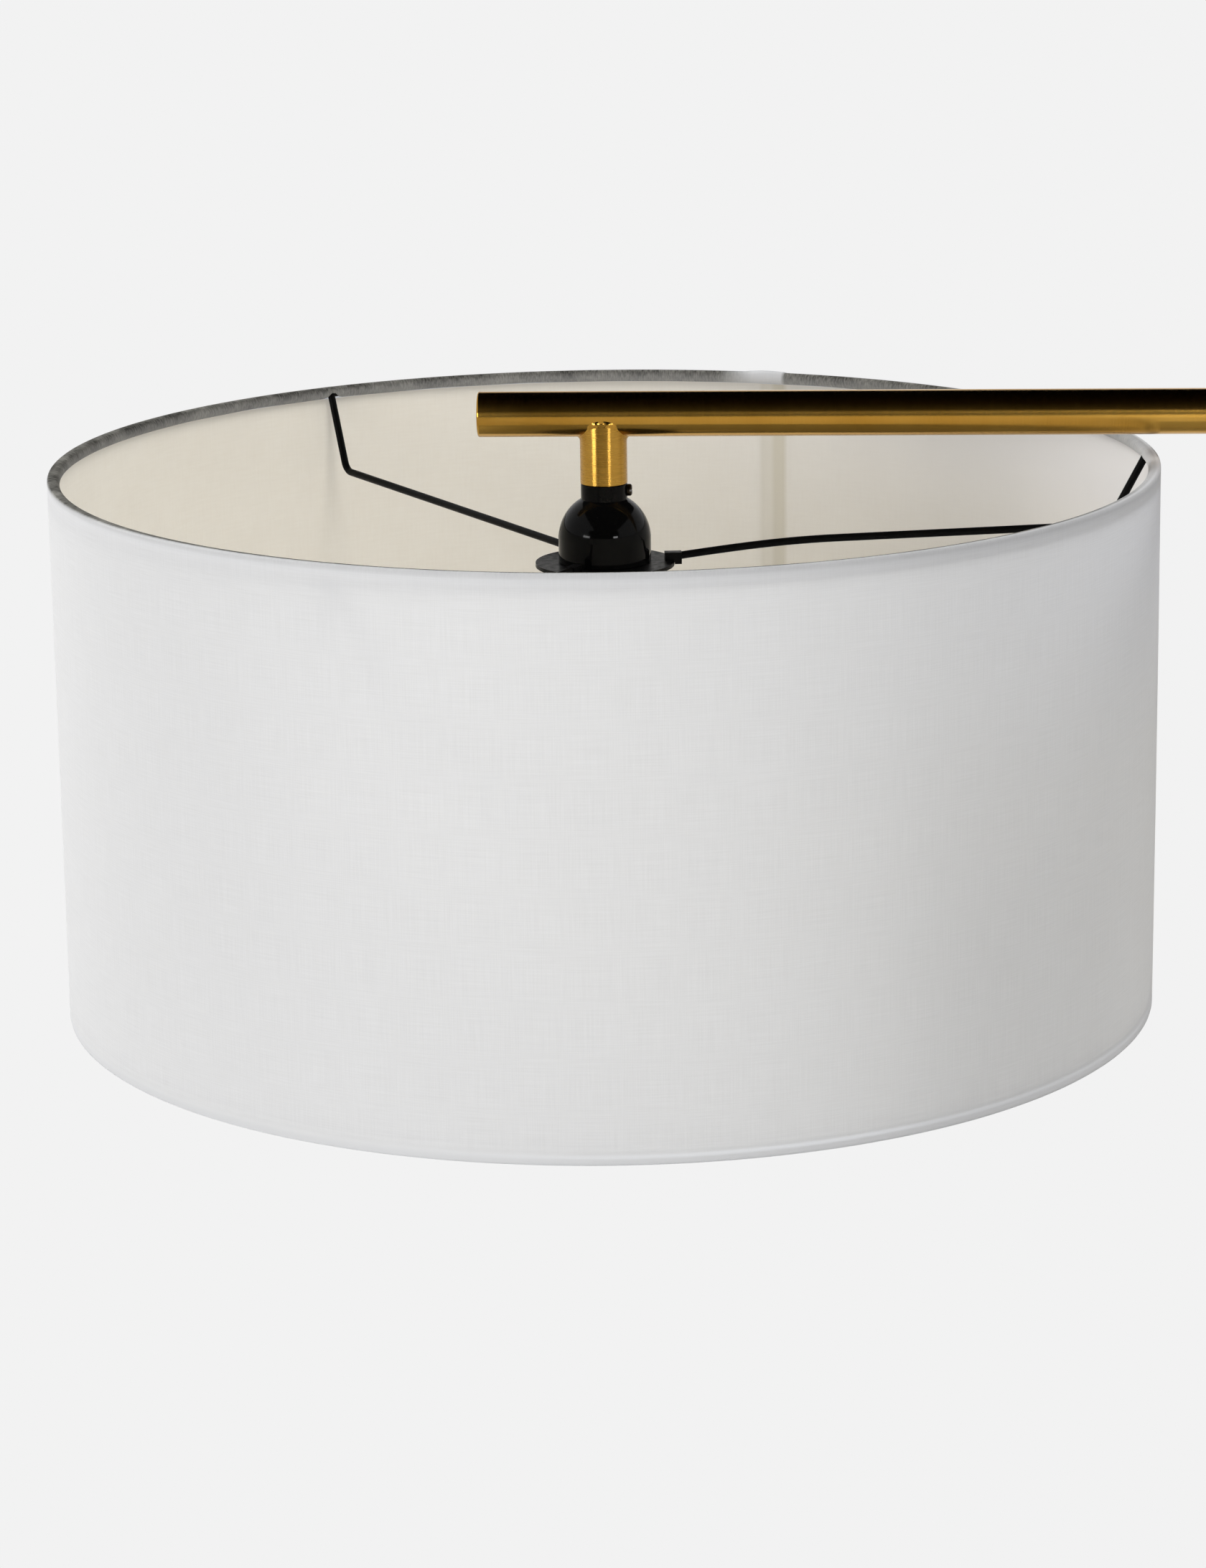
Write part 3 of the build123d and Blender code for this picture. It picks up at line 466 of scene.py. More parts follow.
def bronzed_steel():
    """Steel blackened by heat and oil: dark brown, with a broken shine."""
    material, tree, shader = new_material("bronzed_steel", Metallic=1.0)
    wear_mm = 1.2
    place = node(tree, "ShaderNodeTexCoord").outputs["Object"]
    wear = node(tree, "ShaderNodeTexNoise", {"Vector": place, "Scale": 1000 / wear_mm, "Detail": 4.0})
    tone = node(tree, "ShaderNodeMix", {0: wear.outputs[0], 6: linear("#211D19"), 7: linear("#4A4238")},
                data_type="RGBA")
    rough = node(tree, "ShaderNodeMapRange", {"Value": wear.outputs[0], 3: 0.25, 4: 0.45})
    tree.links.new(tone.outputs[2], shader.inputs["Base Color"])
    tree.links.new(rough.outputs[0], shader.inputs["Roughness"])
    return material


dress(bronzed_steel(), "socket_lock_screw")


# Socket contacts
# A pressed porcelain block inside the socket carries the bulb's brass screw shell, the centre contact
# and the two terminal screws, all bare metal.

def unglazed_porcelain():
    """Fired without a glaze: chalky off-white with a faint grain."""
    material, tree, shader = new_material("unglazed_porcelain", Roughness=0.6)
    grain_mm = 0.8
    place = node(tree, "ShaderNodeTexCoord").outputs["Object"]
    grain = node(tree, "ShaderNodeTexNoise", {"Vector": place, "Scale": 1000 / grain_mm, "Detail": 3.0})
    tone = node(tree, "ShaderNodeMix", {0: grain.outputs[0], 6: linear("#DDD7CB"), 7: linear("#EFEBE2")},
                data_type="RGBA")
    tree.links.new(tone.outputs[2], shader.inputs["Base Color"])
    return material


dress(unglazed_porcelain(), "contact_block")
contact_brass = antique_brass("bare_contact_brass", "Object", grain_mm=(6.0, 6.0, 0.5), stretch=0.0)
dress(contact_brass, "screw_shell", "terminal_screws", "centre_contact")


# Bulb
# A common blown bulb, coated white inside, with a screw cap rolled from thin aluminium.
# It is screwed up into the socket, and off.

def opal_glass():
    """Milky white under a clear, glossy skin."""
    material, tree, shader = new_material("opal_glass", IOR=1.5, Coat_Weight=0.5, Coat_Roughness=0.05)
    coat_mm = 7.0
    place = node(tree, "ShaderNodeTexCoord").outputs["Object"]
    coat = node(tree, "ShaderNodeTexNoise", {"Vector": place, "Scale": 1000 / coat_mm, "Detail": 3.0})
    tone = node(tree, "ShaderNodeMix", {0: coat.outputs[0], 6: linear("#E8E5DD"), 7: linear("#F4F2EC")},
                data_type="RGBA")
    rough = node(tree, "ShaderNodeMapRange", {"Value": coat.outputs[0], 3: 0.16, 4: 0.26})
    tree.links.new(tone.outputs[2], shader.inputs["Base Color"])
    tree.links.new(rough.outputs[0], shader.inputs["Roughness"])
    return material


def rolled_aluminium():
    """Bright grey metal with fine level marks from the rolls."""
    material, tree, shader = new_material("rolled_aluminium", Metallic=1.0)
    roll_mm = (4.0, 4.0, 0.3)
    place = node(tree, "ShaderNodeTexCoord").outputs["Object"]
    marks = node(tree, "ShaderNodeMapping", {"Vector": place, "Scale": [1000 / size for size in roll_mm]})
    roll = node(tree, "ShaderNodeTexNoise", {"Vector": marks.outputs[0], "Scale": 1.0, "Detail": 3.0})
    tone = node(tree, "ShaderNodeMix", {0: roll.outputs[0], 6: linear("#B4B5B7"), 7: linear("#D0D1D2")},
                data_type="RGBA")
    rough = node(tree, "ShaderNodeMapRange", {"Value": roll.outputs[0], 3: 0.25, 4: 0.4})
    tree.links.new(tone.outputs[2], shader.inputs["Base Color"])
    tree.links.new(rough.outputs[0], shader.inputs["Roughness"])
    return material


dress(opal_glass(), "bulb_globe")
dress(rolled_aluminium(), "bulb_cap")


# Shade fitter
# A flat steel ring, clamped on the socket by a phenolic nut, and the two round wires that hold the
# shade's rims open. All but the nut is coated in satin black enamel.

def satin_enamel():
    """Sprayed and baked: black, with a soft gloss that is uneven where the enamel has pooled."""
    material, tree, shader = new_material("satin_black_enamel", IOR=1.5, Specular_IOR_Level=0.06)
    flow_mm = 2.5
    place = node(tree, "ShaderNodeTexCoord").outputs["Object"]
    flow = node(tree, "ShaderNodeTexNoise", {"Vector": place, "Scale": 1000 / flow_mm, "Detail": 4.0})
    tone = node(tree, "ShaderNodeMix", {0: flow.outputs[0], 6: linear("#050505"), 7: linear("#0D0D0D")},
                data_type="RGBA")
    rough = node(tree, "ShaderNodeMapRange", {"Value": flow.outputs[0], 1: 0.3, 2: 0.7, 3: 0.28, 4: 0.45})
    relief = node(tree, "ShaderNodeBump", {"Height": flow.outputs[0], "Strength": 0.15, "Distance": 0.0002})
    tree.links.new(tone.outputs[2], shader.inputs["Base Color"])
    tree.links.new(rough.outputs[0], shader.inputs["Roughness"])
    tree.links.new(relief.outputs[0], shader.inputs["Normal"])
    return material


black_enamel = satin_enamel()
dress(black_enamel, "fitter_ring", "top_ring", "bottom_ring")
dress(black_phenolic, "shade_nut")


# Fitter wires
# Three enamelled wires that carry the shade. Each is welded by a square foot to the fitter ring and bent
# up to the top ring. The right-hand one is a little out of true: it bows up from its foot and sits higher.

fitter_low, fitter_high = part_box("fitter_ring")
rim_low, rim_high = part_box("top_ring")
FITTER_WIRE = 0.0016
RIM_WIRE = 0.002
FOOT_LENGTH = 0.007
FOOT_LAP = 0.004
FOOT_WIDTH = 0.0042
FOOT_HEIGHT = 0.0034
LIP_GAP = 0.00005
BOW_LENGTH = 0.065
BOW_STEPS = 12
WIRE_BEND = 0.006
WIRE_BEND_STEPS = 12
WIRE_ANGLES = [math.radians(angle) for angle in (6, 126, 246)]
AROUND_WIRE = 40
SHARP_EDGE = math.radians(40)
fitter_radius = (fitter_high.x - fitter_low.x) / 2
foot_start = fitter_radius - FOOT_LAP
foot_end = foot_start + FOOT_LENGTH
wire_z = fitter_high.z + FOOT_HEIGHT - FITTER_WIRE
rim_radius = (rim_high.x - rim_low.x) / 2 - RIM_WIRE
rim_z = (rim_low.z + rim_high.z) / 2


def square_section(centre, side, low, high):
    """A ring of points on a rectangle as wide as a foot, from low to high."""
    middle = np.array([centre.x, centre.y, (low + high) / 2])
    angle = np.linspace(0, 2 * np.pi, AROUND_WIRE, endpoint=False)
    across, over = np.sin(angle), np.cos(angle)
    far = np.maximum(abs(across), abs(over))
    level = np.outer(across / far, side) * FOOT_WIDTH / 2
    return middle + level + np.outer(over / far, (0, 0, 1)) * (high - low) / 2


def fitter_wire(name, angle, bend_in, bend_drop, bow):
    """A wire bent bend_in from the rim ring's middle and bend_drop below it, and lifted by bow."""
    axis = Vector((fitter_low.x + fitter_radius, 0, 0))
    out = Vector((math.cos(angle), math.sin(angle), 0))
    side = out.cross(Vector((0, 0, 1)))

    def at(radius, z):
        """A point in the wire's own upright plane."""
        return axis + out * radius + Vector((0, 0, z))

    bend = at(rim_radius - bend_in, rim_z - bend_drop)
    slope = (rim_z - bend_drop - bow - wire_z) / (rim_radius - bend_in - foot_end)
    path = []
    for i in range(BOW_STEPS + 1):
        t = i / BOW_STEPS
        path.append(at(foot_end + t * BOW_LENGTH,
                       wire_z + slope * t * BOW_LENGTH + bow * math.sin(math.pi / 2 * t)))
    rim = at(rim_radius, rim_z)
    tip = rim + (bend - rim).normalized() * RIM_WIRE / 2
    path = path[:-1] + round_path([path[-1], bend, tip], WIRE_BEND, WIRE_BEND_STEPS)
    start, end = at(foot_start, 0), at(foot_end, 0)
    lip_edge, lip = at(fitter_radius + LIP_GAP, 0), at(fitter_radius + 3 * LIP_GAP, 0)
    foot_top = fitter_high.z + FOOT_HEIGHT
    foot = [square_section(start, side * 0, wire_z, wire_z),
            square_section(start, side, fitter_high.z, foot_top),
            square_section(lip_edge, side, fitter_high.z, foot_top),
            square_section(lip, side, fitter_low.z, foot_top),
            square_section(end, side, fitter_low.z, foot_top)]
    rows = np.concatenate([foot, tube_rows(path, FITTER_WIRE, side, AROUND_WIRE)])
    wire = skinned(name, rows)
    wire.data.flip_normals()
    wire.data.set_sharp_from_angle(angle=SHARP_EDGE)
    wire.data.materials.append(black_enamel)
    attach(wire, "shade")
    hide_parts("fitter_arms")


fitter_wire("fitter_wire_right", WIRE_ANGLES[0], bend_in=0.0160, bend_drop=0.0301, bow=0.0042)
fitter_wire("fitter_wire_back", WIRE_ANGLES[1], bend_in=0.01265, bend_drop=0.03425, bow=0.0)
fitter_wire("fitter_wire_front", WIRE_ANGLES[2], bend_in=0.01265, bend_drop=0.03425, bow=0.0)


# Shade cloth
# One strip of fine white linen, wrapped round the drum with a glued overlap at the back and turned in
# over a wire at each rim. Warp and weft are uneven, so slubs show as faint upright and level streaks.

cloth_low, cloth_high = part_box("shade_skin")
shade_radius = (cloth_high.x - cloth_low.x) / 2
CLOTH_SIDES = 720
CLOTH_INSET = 0.00015
LONG_WAVE = 0.00018
SHORT_WAVE = 0.00012
WALL_STEPS = 40
OVERLAP = 0.020
OVERLAP_RISE = 0.0004
SEAM_ANGLE = math.radians(71.2)
SEAM_LUMP = 0.0006
SEAM_LUMP_WIDTH = 0.006
HEM_ROLL = 0.00265
HEM_SQUARE = 5
HEM_STEPS = 24
# Degrees of turn round the rim wire, how far the cut edge strays from it, and the turn lost at a slit.
HEM_TURN = 248
HEM_RAGGED = 9
HEM_FRAYED = 6
SLIT_TURN = 75
SLIT_WIDTH = 0.0026
# The foot hem's edge strays as the top's does, but shifted round by this angle.
FOOT_SHIFT = 1.0
roll_x = shade_radius - HEM_ROLL


def hem_reach(angle, foot):
    """The angle through which the cloth is turned in round the rim wire. Its cut edge is ragged, and it
    is slit where a fitter wire comes through."""
    ragged = HEM_RAGGED * math.sin(7 * angle + 0.4) * math.sin(3 * angle)
    frayed = HEM_FRAYED * math.sin(31 * angle)
    reach = HEM_TURN + (ragged + frayed)
    if not foot:
        for wire in WIRE_ANGLES:
            apart = abs(angle_gap(angle, wire)) * shade_radius
            reach -= SLIT_TURN * math.exp(-(apart / SLIT_WIDTH) ** 2)
    return math.radians(reach)


def pressed(turn):
    """How far beyond a round roll the hem's outer corner lies, since the cloth is pressed square there."""
    if abs(turn) > math.pi / 2:
        return 1.0
    return (abs(math.cos(turn)) ** HEM_SQUARE + abs(math.sin(turn)) ** HEM_SQUARE) ** (-1 / HEM_SQUARE)


def cloth_column(angle):
    """The cloth's outline at one angle, from the tucked edge of the top hem to that of the foot hem."""
    over = angle_gap(angle, SEAM_ANGLE) * shade_radius
    lap = OVERLAP_RISE * (0 < over < OVERLAP) - CLOTH_INSET
    lump = SEAM_LUMP * math.exp(-((over - OVERLAP / 2) / SEAM_LUMP_WIDTH) ** 2)
    wave = LONG_WAVE * math.sin(5 * angle + 0.6) + SHORT_WAVE * math.sin(11 * angle + 2.0)
    top, foot = cloth_high.z - HEM_ROLL, cloth_low.z + HEM_ROLL
    column = []
    top_reach = hem_reach(angle, foot=False)
    for i in range(HEM_STEPS + 1):
        share = i / HEM_STEPS
        turn = top_reach * (1 - share)
        size = pressed(turn) * HEM_ROLL + lump * math.sin(math.pi * i / HEM_STEPS) + lap * share
        column.append((roll_x + size * math.cos(turn), top + size * math.sin(turn)))
    for i in range(1, WALL_STEPS):
        share = (1 - math.cos(math.pi * i / WALL_STEPS)) / 2
        z = top + (foot - top) * share
        bulge = wave * math.sin(math.pi * share)
        column.append((shade_radius + lap + bulge, z))
    foot_reach = hem_reach(angle + FOOT_SHIFT, foot=True)
    for i in range(HEM_STEPS + 1):
        turn = -foot_reach * i / HEM_STEPS
        size = pressed(turn) * HEM_ROLL + lap * (1 - i / HEM_STEPS)
        column.append((roll_x + size * math.cos(turn), foot + size * math.sin(turn)))
    return [(shade_x + r * math.cos(angle), r * math.sin(angle), z) for r, z in column]


def ramp(value, start, end):
    """0 up to start, 1 from end on, and a straight slope between them."""
    return min(1.0, max(0.0, (value - start) / (end - start)))


# Where the wire is hidden: at the overlap, where two layers lap, and at the right, where painted light
# lifts the hem; and the left, where the hem is painted in shade.
LIT_RIGHT_ANGLE = math.radians(-5)
LIT_RIGHT_WIDTH = math.radians(22)
LIT_RIGHT_SHARE = 0.75
LAPPED_SHARE = 0.9
SHADED_LEFT_ANGLE = math.radians(188)
SHADED_LEFT_WIDTH = math.radians(42)
# Places round a hem's roll, in degrees from straight out, between which it is painted darker: the wire
# showing through, and painted shade on the roll's top and inner side.
GREYED_TO = 35
GREYED_SHARE = 0.2
DARK_FROM = 60
DARK_SPAN = 26
SHADED_LEFT_SHIFT = 38
TUCKED = (130, 220)
TUCKED_LOSS = 0.35
FOOT_DARK = (68, 100)


def hem_wire_and_shade(angle):
    """How dark a hem is painted, down the same outline: the rim wire showing through the cloth, with
    painted shade on the roll's top, inner side and underside, and painted light at the right.
    """
    over = angle_gap(angle, SEAM_ANGLE) * shade_radius
    doubled = LIT_RIGHT_SHARE * nearness(angle, LIT_RIGHT_ANGLE, LIT_RIGHT_WIDTH)
    if over > 0:
        doubled = max(doubled, LAPPED_SHARE * (1 - ramp(over, 0.8 * OVERLAP, 1.6 * OVERLAP)))
    dark_from = DARK_FROM - SHADED_LEFT_SHIFT * nearness(angle, SHADED_LEFT_ANGLE, SHADED_LEFT_WIDTH)
    shown = []
    for i in range(HEM_STEPS + 1):
        turn = math.degrees(hem_reach(angle, foot=False)) * (1 - i / HEM_STEPS)
        greyed = GREYED_SHARE * ramp(turn, 0, GREYED_TO)
        dark = ramp(turn, dark_from, dark_from + DARK_SPAN) * (1 - TUCKED_LOSS * ramp(turn, *TUCKED))
        shown.append(max(greyed, dark) * (1 - doubled))
    shown += [0.0] * (WALL_STEPS - 1)
    for i in range(HEM_STEPS + 1):
        turn = math.degrees(hem_reach(angle + FOOT_SHIFT, foot=True)) * i / HEM_STEPS
        shown.append(ramp(turn, *FOOT_DARK))
    return shown


cloth_angles = [SEAM_ANGLE + 2 * math.pi * i / CLOTH_SIDES for i in range(CLOTH_SIDES)]
cloth_rows = np.array([cloth_column(a) for a in cloth_angles]).transpose(1, 0, 2)
cloth = skinned("shade_cloth", cloth_rows)
cloth.data.flip_normals()
# Painted shade on the hems: the wire showing through, and the rolls' shaded sides; painted light at the
# right.
wire_and_painted_shade = cloth.data.attributes.new("wire_and_painted_shade", "FLOAT", "POINT")
wire_and_painted_shade.data.foreach_set("value", np.array([hem_wire_and_shade(a) for a in cloth_angles]).T.ravel())

# How deep a hem is, how much of one is backed and painted lighter at the top rim, and where the foot's hem
# is backed more and given less painted light, on the shaded right-hand side.
HEM_DEPTH = 0.008
TOP_BACKED = 0.42
TOP_PAINTED_LIGHT = 0.28
SHADED_FOOT_ANGLE = math.radians(-15)
SHADED_FOOT_WIDTH = math.radians(45)
SHADED_FOOT_LOSS = 0.3


def hem_share(z, angle):
    """How much of a hem lies at a height: the backing behind the cloth, and the painted light that whitens
    the rims against the shadow of their wires.
    """
    top = 1 - ramp(cloth_high.z - z, 0.5 * HEM_DEPTH, HEM_DEPTH)
    foot = 1 - ramp(z - cloth_low.z, 0.5 * HEM_DEPTH, HEM_DEPTH)
    shaded_foot = nearness(angle, SHADED_FOOT_ANGLE, SHADED_FOOT_WIDTH)
    backed = max(TOP_BACKED * top, foot * shaded_foot)
    rim_light = max(TOP_PAINTED_LIGHT * top, foot * (1 - SHADED_FOOT_LOSS * shaded_foot))
    return backed, rim_light


hem_shares = np.array([[hem_share(z, a) for z, a in zip(row, cloth_angles)] for row in cloth_rows[:, :, 2]])
hem_backed = cloth.data.attributes.new("hem_backed", "FLOAT", "POINT")
hem_backed.data.foreach_set("value", hem_shares[:, :, 0].ravel())
hem_painted_light = cloth.data.attributes.new("hem_painted_light", "FLOAT", "POINT")
hem_painted_light.data.foreach_set("value", hem_shares[:, :, 1].ravel())


def white_linen():
    """Thin white linen: light comes through it, and where it is drawn over a wire the black shows; its hems
    also carry painted shade and painted light.
    Real threads lie closer together than a pixel, so they are drawn coarser."""
    material, tree, shader = new_material("white_linen", Roughness=0.9, Specular_IOR_Level=0.1)
    thread_mm, slub_mm = 0.45, 22.0
    place = node(tree, "ShaderNodeUVMap", uv_map="UVMap").outputs[0]
    along, across = 1000 / slub_mm, 1000 / thread_mm
    upright = node(tree, "ShaderNodeMapping", {"Vector": place, "Scale": (across, along, 1)})
    level = node(tree, "ShaderNodeMapping", {"Vector": place, "Scale": (along, across, 1)})
    warp = node(tree, "ShaderNodeTexNoise", {"Vector": upright.outputs[0], "Scale": 1.0, "Detail": 2.0})
    weft = node(tree, "ShaderNodeTexNoise", {"Vector": level.outputs[0], "Scale": 1.0, "Detail": 2.0})
    threads = node(tree, "ShaderNodeMath", {0: warp.outputs[0], 1: weft.outputs[0]}, operation="ADD")
    shade = node(tree, "ShaderNodeMapRange", {"Value": threads.outputs[0], 1: 0.7, 2: 1.3})
    single = node(tree, "ShaderNodeMix", {0: shade.outputs[0], 6: linear("#E5E5E6"), 7: linear("#EBEBEC")},
                  data_type="RGBA")
    # Painted light: the rims are whitened to lift the shadow that the rim wires cast in the cloth.
    rim_lightening = node(tree, "ShaderNodeAttribute", attribute_name="hem_painted_light")
    tone = node(tree, "ShaderNodeMix", {0: rim_lightening.outputs["Fac"], 6: single.outputs[2], 7: linear("#F8F8F8")},
                data_type="RGBA")
    rib_mm, rib_length_mm, patch_mm = 0.8, 2.6, 16.0
    drawn = node(tree, "ShaderNodeMapping",
                 {"Vector": place, "Scale": (1000 / rib_mm, 1000 / rib_length_mm, 1)})
    ribs = node(tree, "ShaderNodeTexNoise", {"Vector": drawn.outputs[0], "Scale": 1.0, "Detail": 2.0})
    patches = node(tree, "ShaderNodeTexNoise", {"Vector": place, "Scale": 1000 / patch_mm, "Detail": 3.0})
    uneven = node(tree, "ShaderNodeMath", {0: ribs.outputs[0], 1: patches.outputs[0]}, operation="ADD")
    covered = node(tree, "ShaderNodeMapRange", {"Value": uneven.outputs[0], 1: 0.75, 2: 1.3})
    # Painted shade: the grey of a hem where the wire shows through and where its roll is in shade.
    wire_or_shade_tone = node(tree, "ShaderNodeMix",
                     {0: covered.outputs[0], 6: linear("#43423E"), 7: linear("#98968F")}, data_type="RGBA")
    wire = node(tree, "ShaderNodeAttribute", attribute_name="wire_and_painted_shade")
    both = node(tree, "ShaderNodeMix",
                {0: wire.outputs["Fac"], 6: tone.outputs[2], 7: wire_or_shade_tone.outputs[2]}, data_type="RGBA")
    weave = node(tree, "ShaderNodeBump",
                 {"Height": threads.outputs[0], "Strength": 0.2, "Distance": 0.0002})
    cool = node(tree, "ShaderNodeMix", {0: 1.0, 6: both.outputs[2], 7: linear("#EEF4FF")},
                data_type="RGBA", blend_type="MULTIPLY")
    through = node(tree, "ShaderNodeBsdfTranslucent",
                   {"Color": cool.outputs[2], "Normal": weave.outputs[0]})
    backed = node(tree, "ShaderNodeAttribute", attribute_name="hem_backed")
    thin = node(tree, "ShaderNodeMapRange", {"Value": backed.outputs["Fac"], 3: 0.4, 4: 0.14})
    woven = node(tree, "ShaderNodeMixShader",
                 {0: thin.outputs[0], 1: shader.outputs[0], 2: through.outputs[0]})
    tree.links.new(both.outputs[2], shader.inputs["Base Color"])
    tree.links.new(weave.outputs[0], shader.inputs["Normal"])
    tree.links.new(woven.outputs[0], tree.nodes["Material Output"].inputs["Surface"])
    return material


cloth.data.materials.append(white_linen())
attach(cloth, "shade")
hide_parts("shade_skin")


# Shade liner
# A sheet of warm white styrene that the cloth is bonded to. Its ends lap at the back, where two
# layers let less light through and the lap is painted darker as painted shade, so a darker upright band
# shows inside.

liner_low, liner_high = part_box("shade_liner")
LINER_THICKNESS = 0.00055
LINER_ROWS = 24
LAP_WIDTH = 0.0135
THIN_LAP = 0.45
LIT_ANGLE = math.radians(15)
LIT_WIDTH = math.radians(60)
LIT_DEPTH = (0.02, 0.1)
liner_radius = (liner_high.x - liner_low.x) / 2 - LINER_THICKNESS


def liner_point(angle, z):
    """A point of the liner's inner face, which steps in where its ends lap."""
    along = angle_gap(angle, SEAM_ANGLE) * shade_radius
    radius = liner_radius - LINER_THICKNESS * (0 < along < LAP_WIDTH)
    return shade_x + radius * math.cos(angle), radius * math.sin(angle), z


def lap_share(angle):
    """How far the doubled sheet shows: fully over half of the lap, and less where its edge thins out."""
    place = angle_gap(angle, SEAM_ANGLE) * shade_radius / LAP_WIDTH
    if not 0 < place < 1:
        return 0.0
    return 1.0 if place < 0.5 else THIN_LAP


def painted_light_share(angle, depth):
    """How much painted light whitens the liner: most at the top of the right-hand side, where light falls
    in over the rim.
    """
    return nearness(angle, LIT_ANGLE, LIT_WIDTH) * (1 - ramp(depth, *LIT_DEPTH))


liner_heights = np.linspace(liner_high.z, liner_low.z, LINER_ROWS)
liner = skinned("liner", [[liner_point(a, z) for a in cloth_angles] for z in liner_heights])
lap_and_painted_shade = liner.data.attributes.new("lap_and_painted_shade", "FLOAT", "POINT")
lap_and_painted_shade.data.foreach_set("value", np.tile([lap_share(a) for a in cloth_angles], LINER_ROWS))
# Painted light on the liner: whiter and cooler at the top of its right-hand side.
liner_painted_light = liner.data.attributes.new("liner_painted_light", "FLOAT", "POINT")
liner_light_shares = [[painted_light_share(a, liner_high.z - z) for a in cloth_angles] for z in liner_heights]
liner_painted_light.data.foreach_set("value", np.array(liner_light_shares).ravel())


def warm_styrene():
    """Milky sheet that light comes through, with the cloth's weave faintly showing. The weave is drawn
    coarser than it is, so that it shows."""
    material, tree, shader = new_material("warm_styrene", Roughness=0.55, IOR=1.55)
    mottle_mm, thread_mm, slub_mm = 30, 1.1, 12.0
    place = node(tree, "ShaderNodeUVMap", uv_map="UVMap").outputs[0]
    mottle = node(tree, "ShaderNodeTexNoise", {"Vector": place, "Scale": 1000 / mottle_mm, "Detail": 5.0})
    along, across = 1000 / slub_mm, 1000 / thread_mm
    level = node(tree, "ShaderNodeMapping", {"Vector": place, "Scale": (along, across, 1)})
    upright = node(tree, "ShaderNodeMapping", {"Vector": place, "Scale": (across, along, 1)})
    weft = node(tree, "ShaderNodeTexNoise", {"Vector": level.outputs[0], "Scale": 1.0, "Detail": 2.0})
    warp = node(tree, "ShaderNodeTexNoise", {"Vector": upright.outputs[0], "Scale": 1.0, "Detail": 2.0})
    threads = node(tree, "ShaderNodeMath", {0: warp.outputs[0], 1: weft.outputs[0]}, operation="ADD")
    mixed = node(tree, "ShaderNodeMath", {0: threads.outputs[0], 1: mottle.outputs[0]}, operation="ADD")
    share = node(tree, "ShaderNodeMapRange", {"Value": mixed.outputs[0], 1: 1.0, 2: 2.0})
    warm_tone = node(tree, "ShaderNodeMix", {0: share.outputs[0], 6: linear("#F0E9DA"), 7: linear("#F5EFE1")},
                data_type="RGBA")
    # Painted light: the liner turns whiter where light falls in at the top of its right-hand side.
    white = node(tree, "ShaderNodeAttribute", attribute_name="liner_painted_light")
    tone = node(tree, "ShaderNodeMix", {0: white.outputs["Fac"], 6: warm_tone.outputs[2], 7: linear("#F2EFEB")},
                data_type="RGBA")
    # Painted shade: the lapped band is given a darker tone for the light that the doubled sheet holds back.
    lap = node(tree, "ShaderNodeAttribute", attribute_name="lap_and_painted_shade")
    both = node(tree, "ShaderNodeMix", {0: lap.outputs["Fac"], 6: tone.outputs[2], 7: linear("#DCD5C4")},
                data_type="RGBA")
    through = node(tree, "ShaderNodeBsdfTranslucent", {"Color": both.outputs[2]})
    thin = node(tree, "ShaderNodeMapRange", {"Value": lap.outputs["Fac"], 3: 0.5, 4: 0.25})
    sheet = node(tree, "ShaderNodeMixShader",
                 {0: thin.outputs[0], 1: shader.outputs[0], 2: through.outputs[0]})
    tree.links.new(both.outputs[2], shader.inputs["Base Color"])
    tree.links.new(sheet.outputs[0], tree.nodes["Material Output"].inputs["Surface"])
    return material


liner.data.materials.append(warm_styrene())
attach(liner, "shade")
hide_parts("shade_liner")


# Floor and light
# A pale paper sweep that fades into an even backdrop. Soft lights stand at the left, high on the right
# and behind; a strip, two glints and three flags are seen only in what the metal and phenolic mirror.

scene = bpy.context.scene
scene.view_settings.view_transform = "Standard"
BACKDROP = linear("#F2F2F2")
AMBIENT = 0.28
world = bpy.data.worlds.new("studio")
scene.world = world
world.use_nodes = True
world.node_tree.nodes.clear()


def seen_directly(tree):
    """1 for what the camera sees, straight or in metal and glass, and 0 for light that bounces."""
    rays = node(tree, "ShaderNodeLightPath")
    mirrored = node(tree, "ShaderNodeMath", {0: rays.outputs["Is Glossy Ray"],
                                             1: rays.outputs["Is Transmission Ray"]}, operation="MAXIMUM")
    return node(tree, "ShaderNodeMath", {0: rays.outputs["Is Camera Ray"], 1: mirrored.outputs[0]},
                operation="MAXIMUM").outputs[0]


tree = world.node_tree
ambient = node(tree, "ShaderNodeBackground", {"Color": linear("#FFFFFF"), "Strength": AMBIENT})
backdrop = node(tree, "ShaderNodeBackground", {"Color": BACKDROP, "Strength": 1.0})
sky = node(tree, "ShaderNodeMixShader",
           {0: seen_directly(tree), 1: ambient.outputs[0], 2: backdrop.outputs[0]})
node(tree, "ShaderNodeOutputWorld", {0: sky.outputs[0]})

FLOOR_RADIUS = 2.3
FLOOR_SIDES = 96
FADE_FROM = 0.2
FADE_TO = 0.6 * FLOOR_RADIUS
FADE_UNDER = 0.5
floor_mesh = bpy.data.meshes.new("floor")
floor_turns = [2 * math.pi * i / FLOOR_SIDES for i in range(FLOOR_SIDES)]
floor_edge = [(FLOOR_RADIUS * math.cos(a), FLOOR_RADIUS * math.sin(a), 0) for a in floor_turns]
floor_mesh.from_pydata(floor_edge, [], [list(range(FLOOR_SIDES))])
floor = bpy.data.objects.new("floor", floor_mesh)
scene.collection.objects.link(floor)
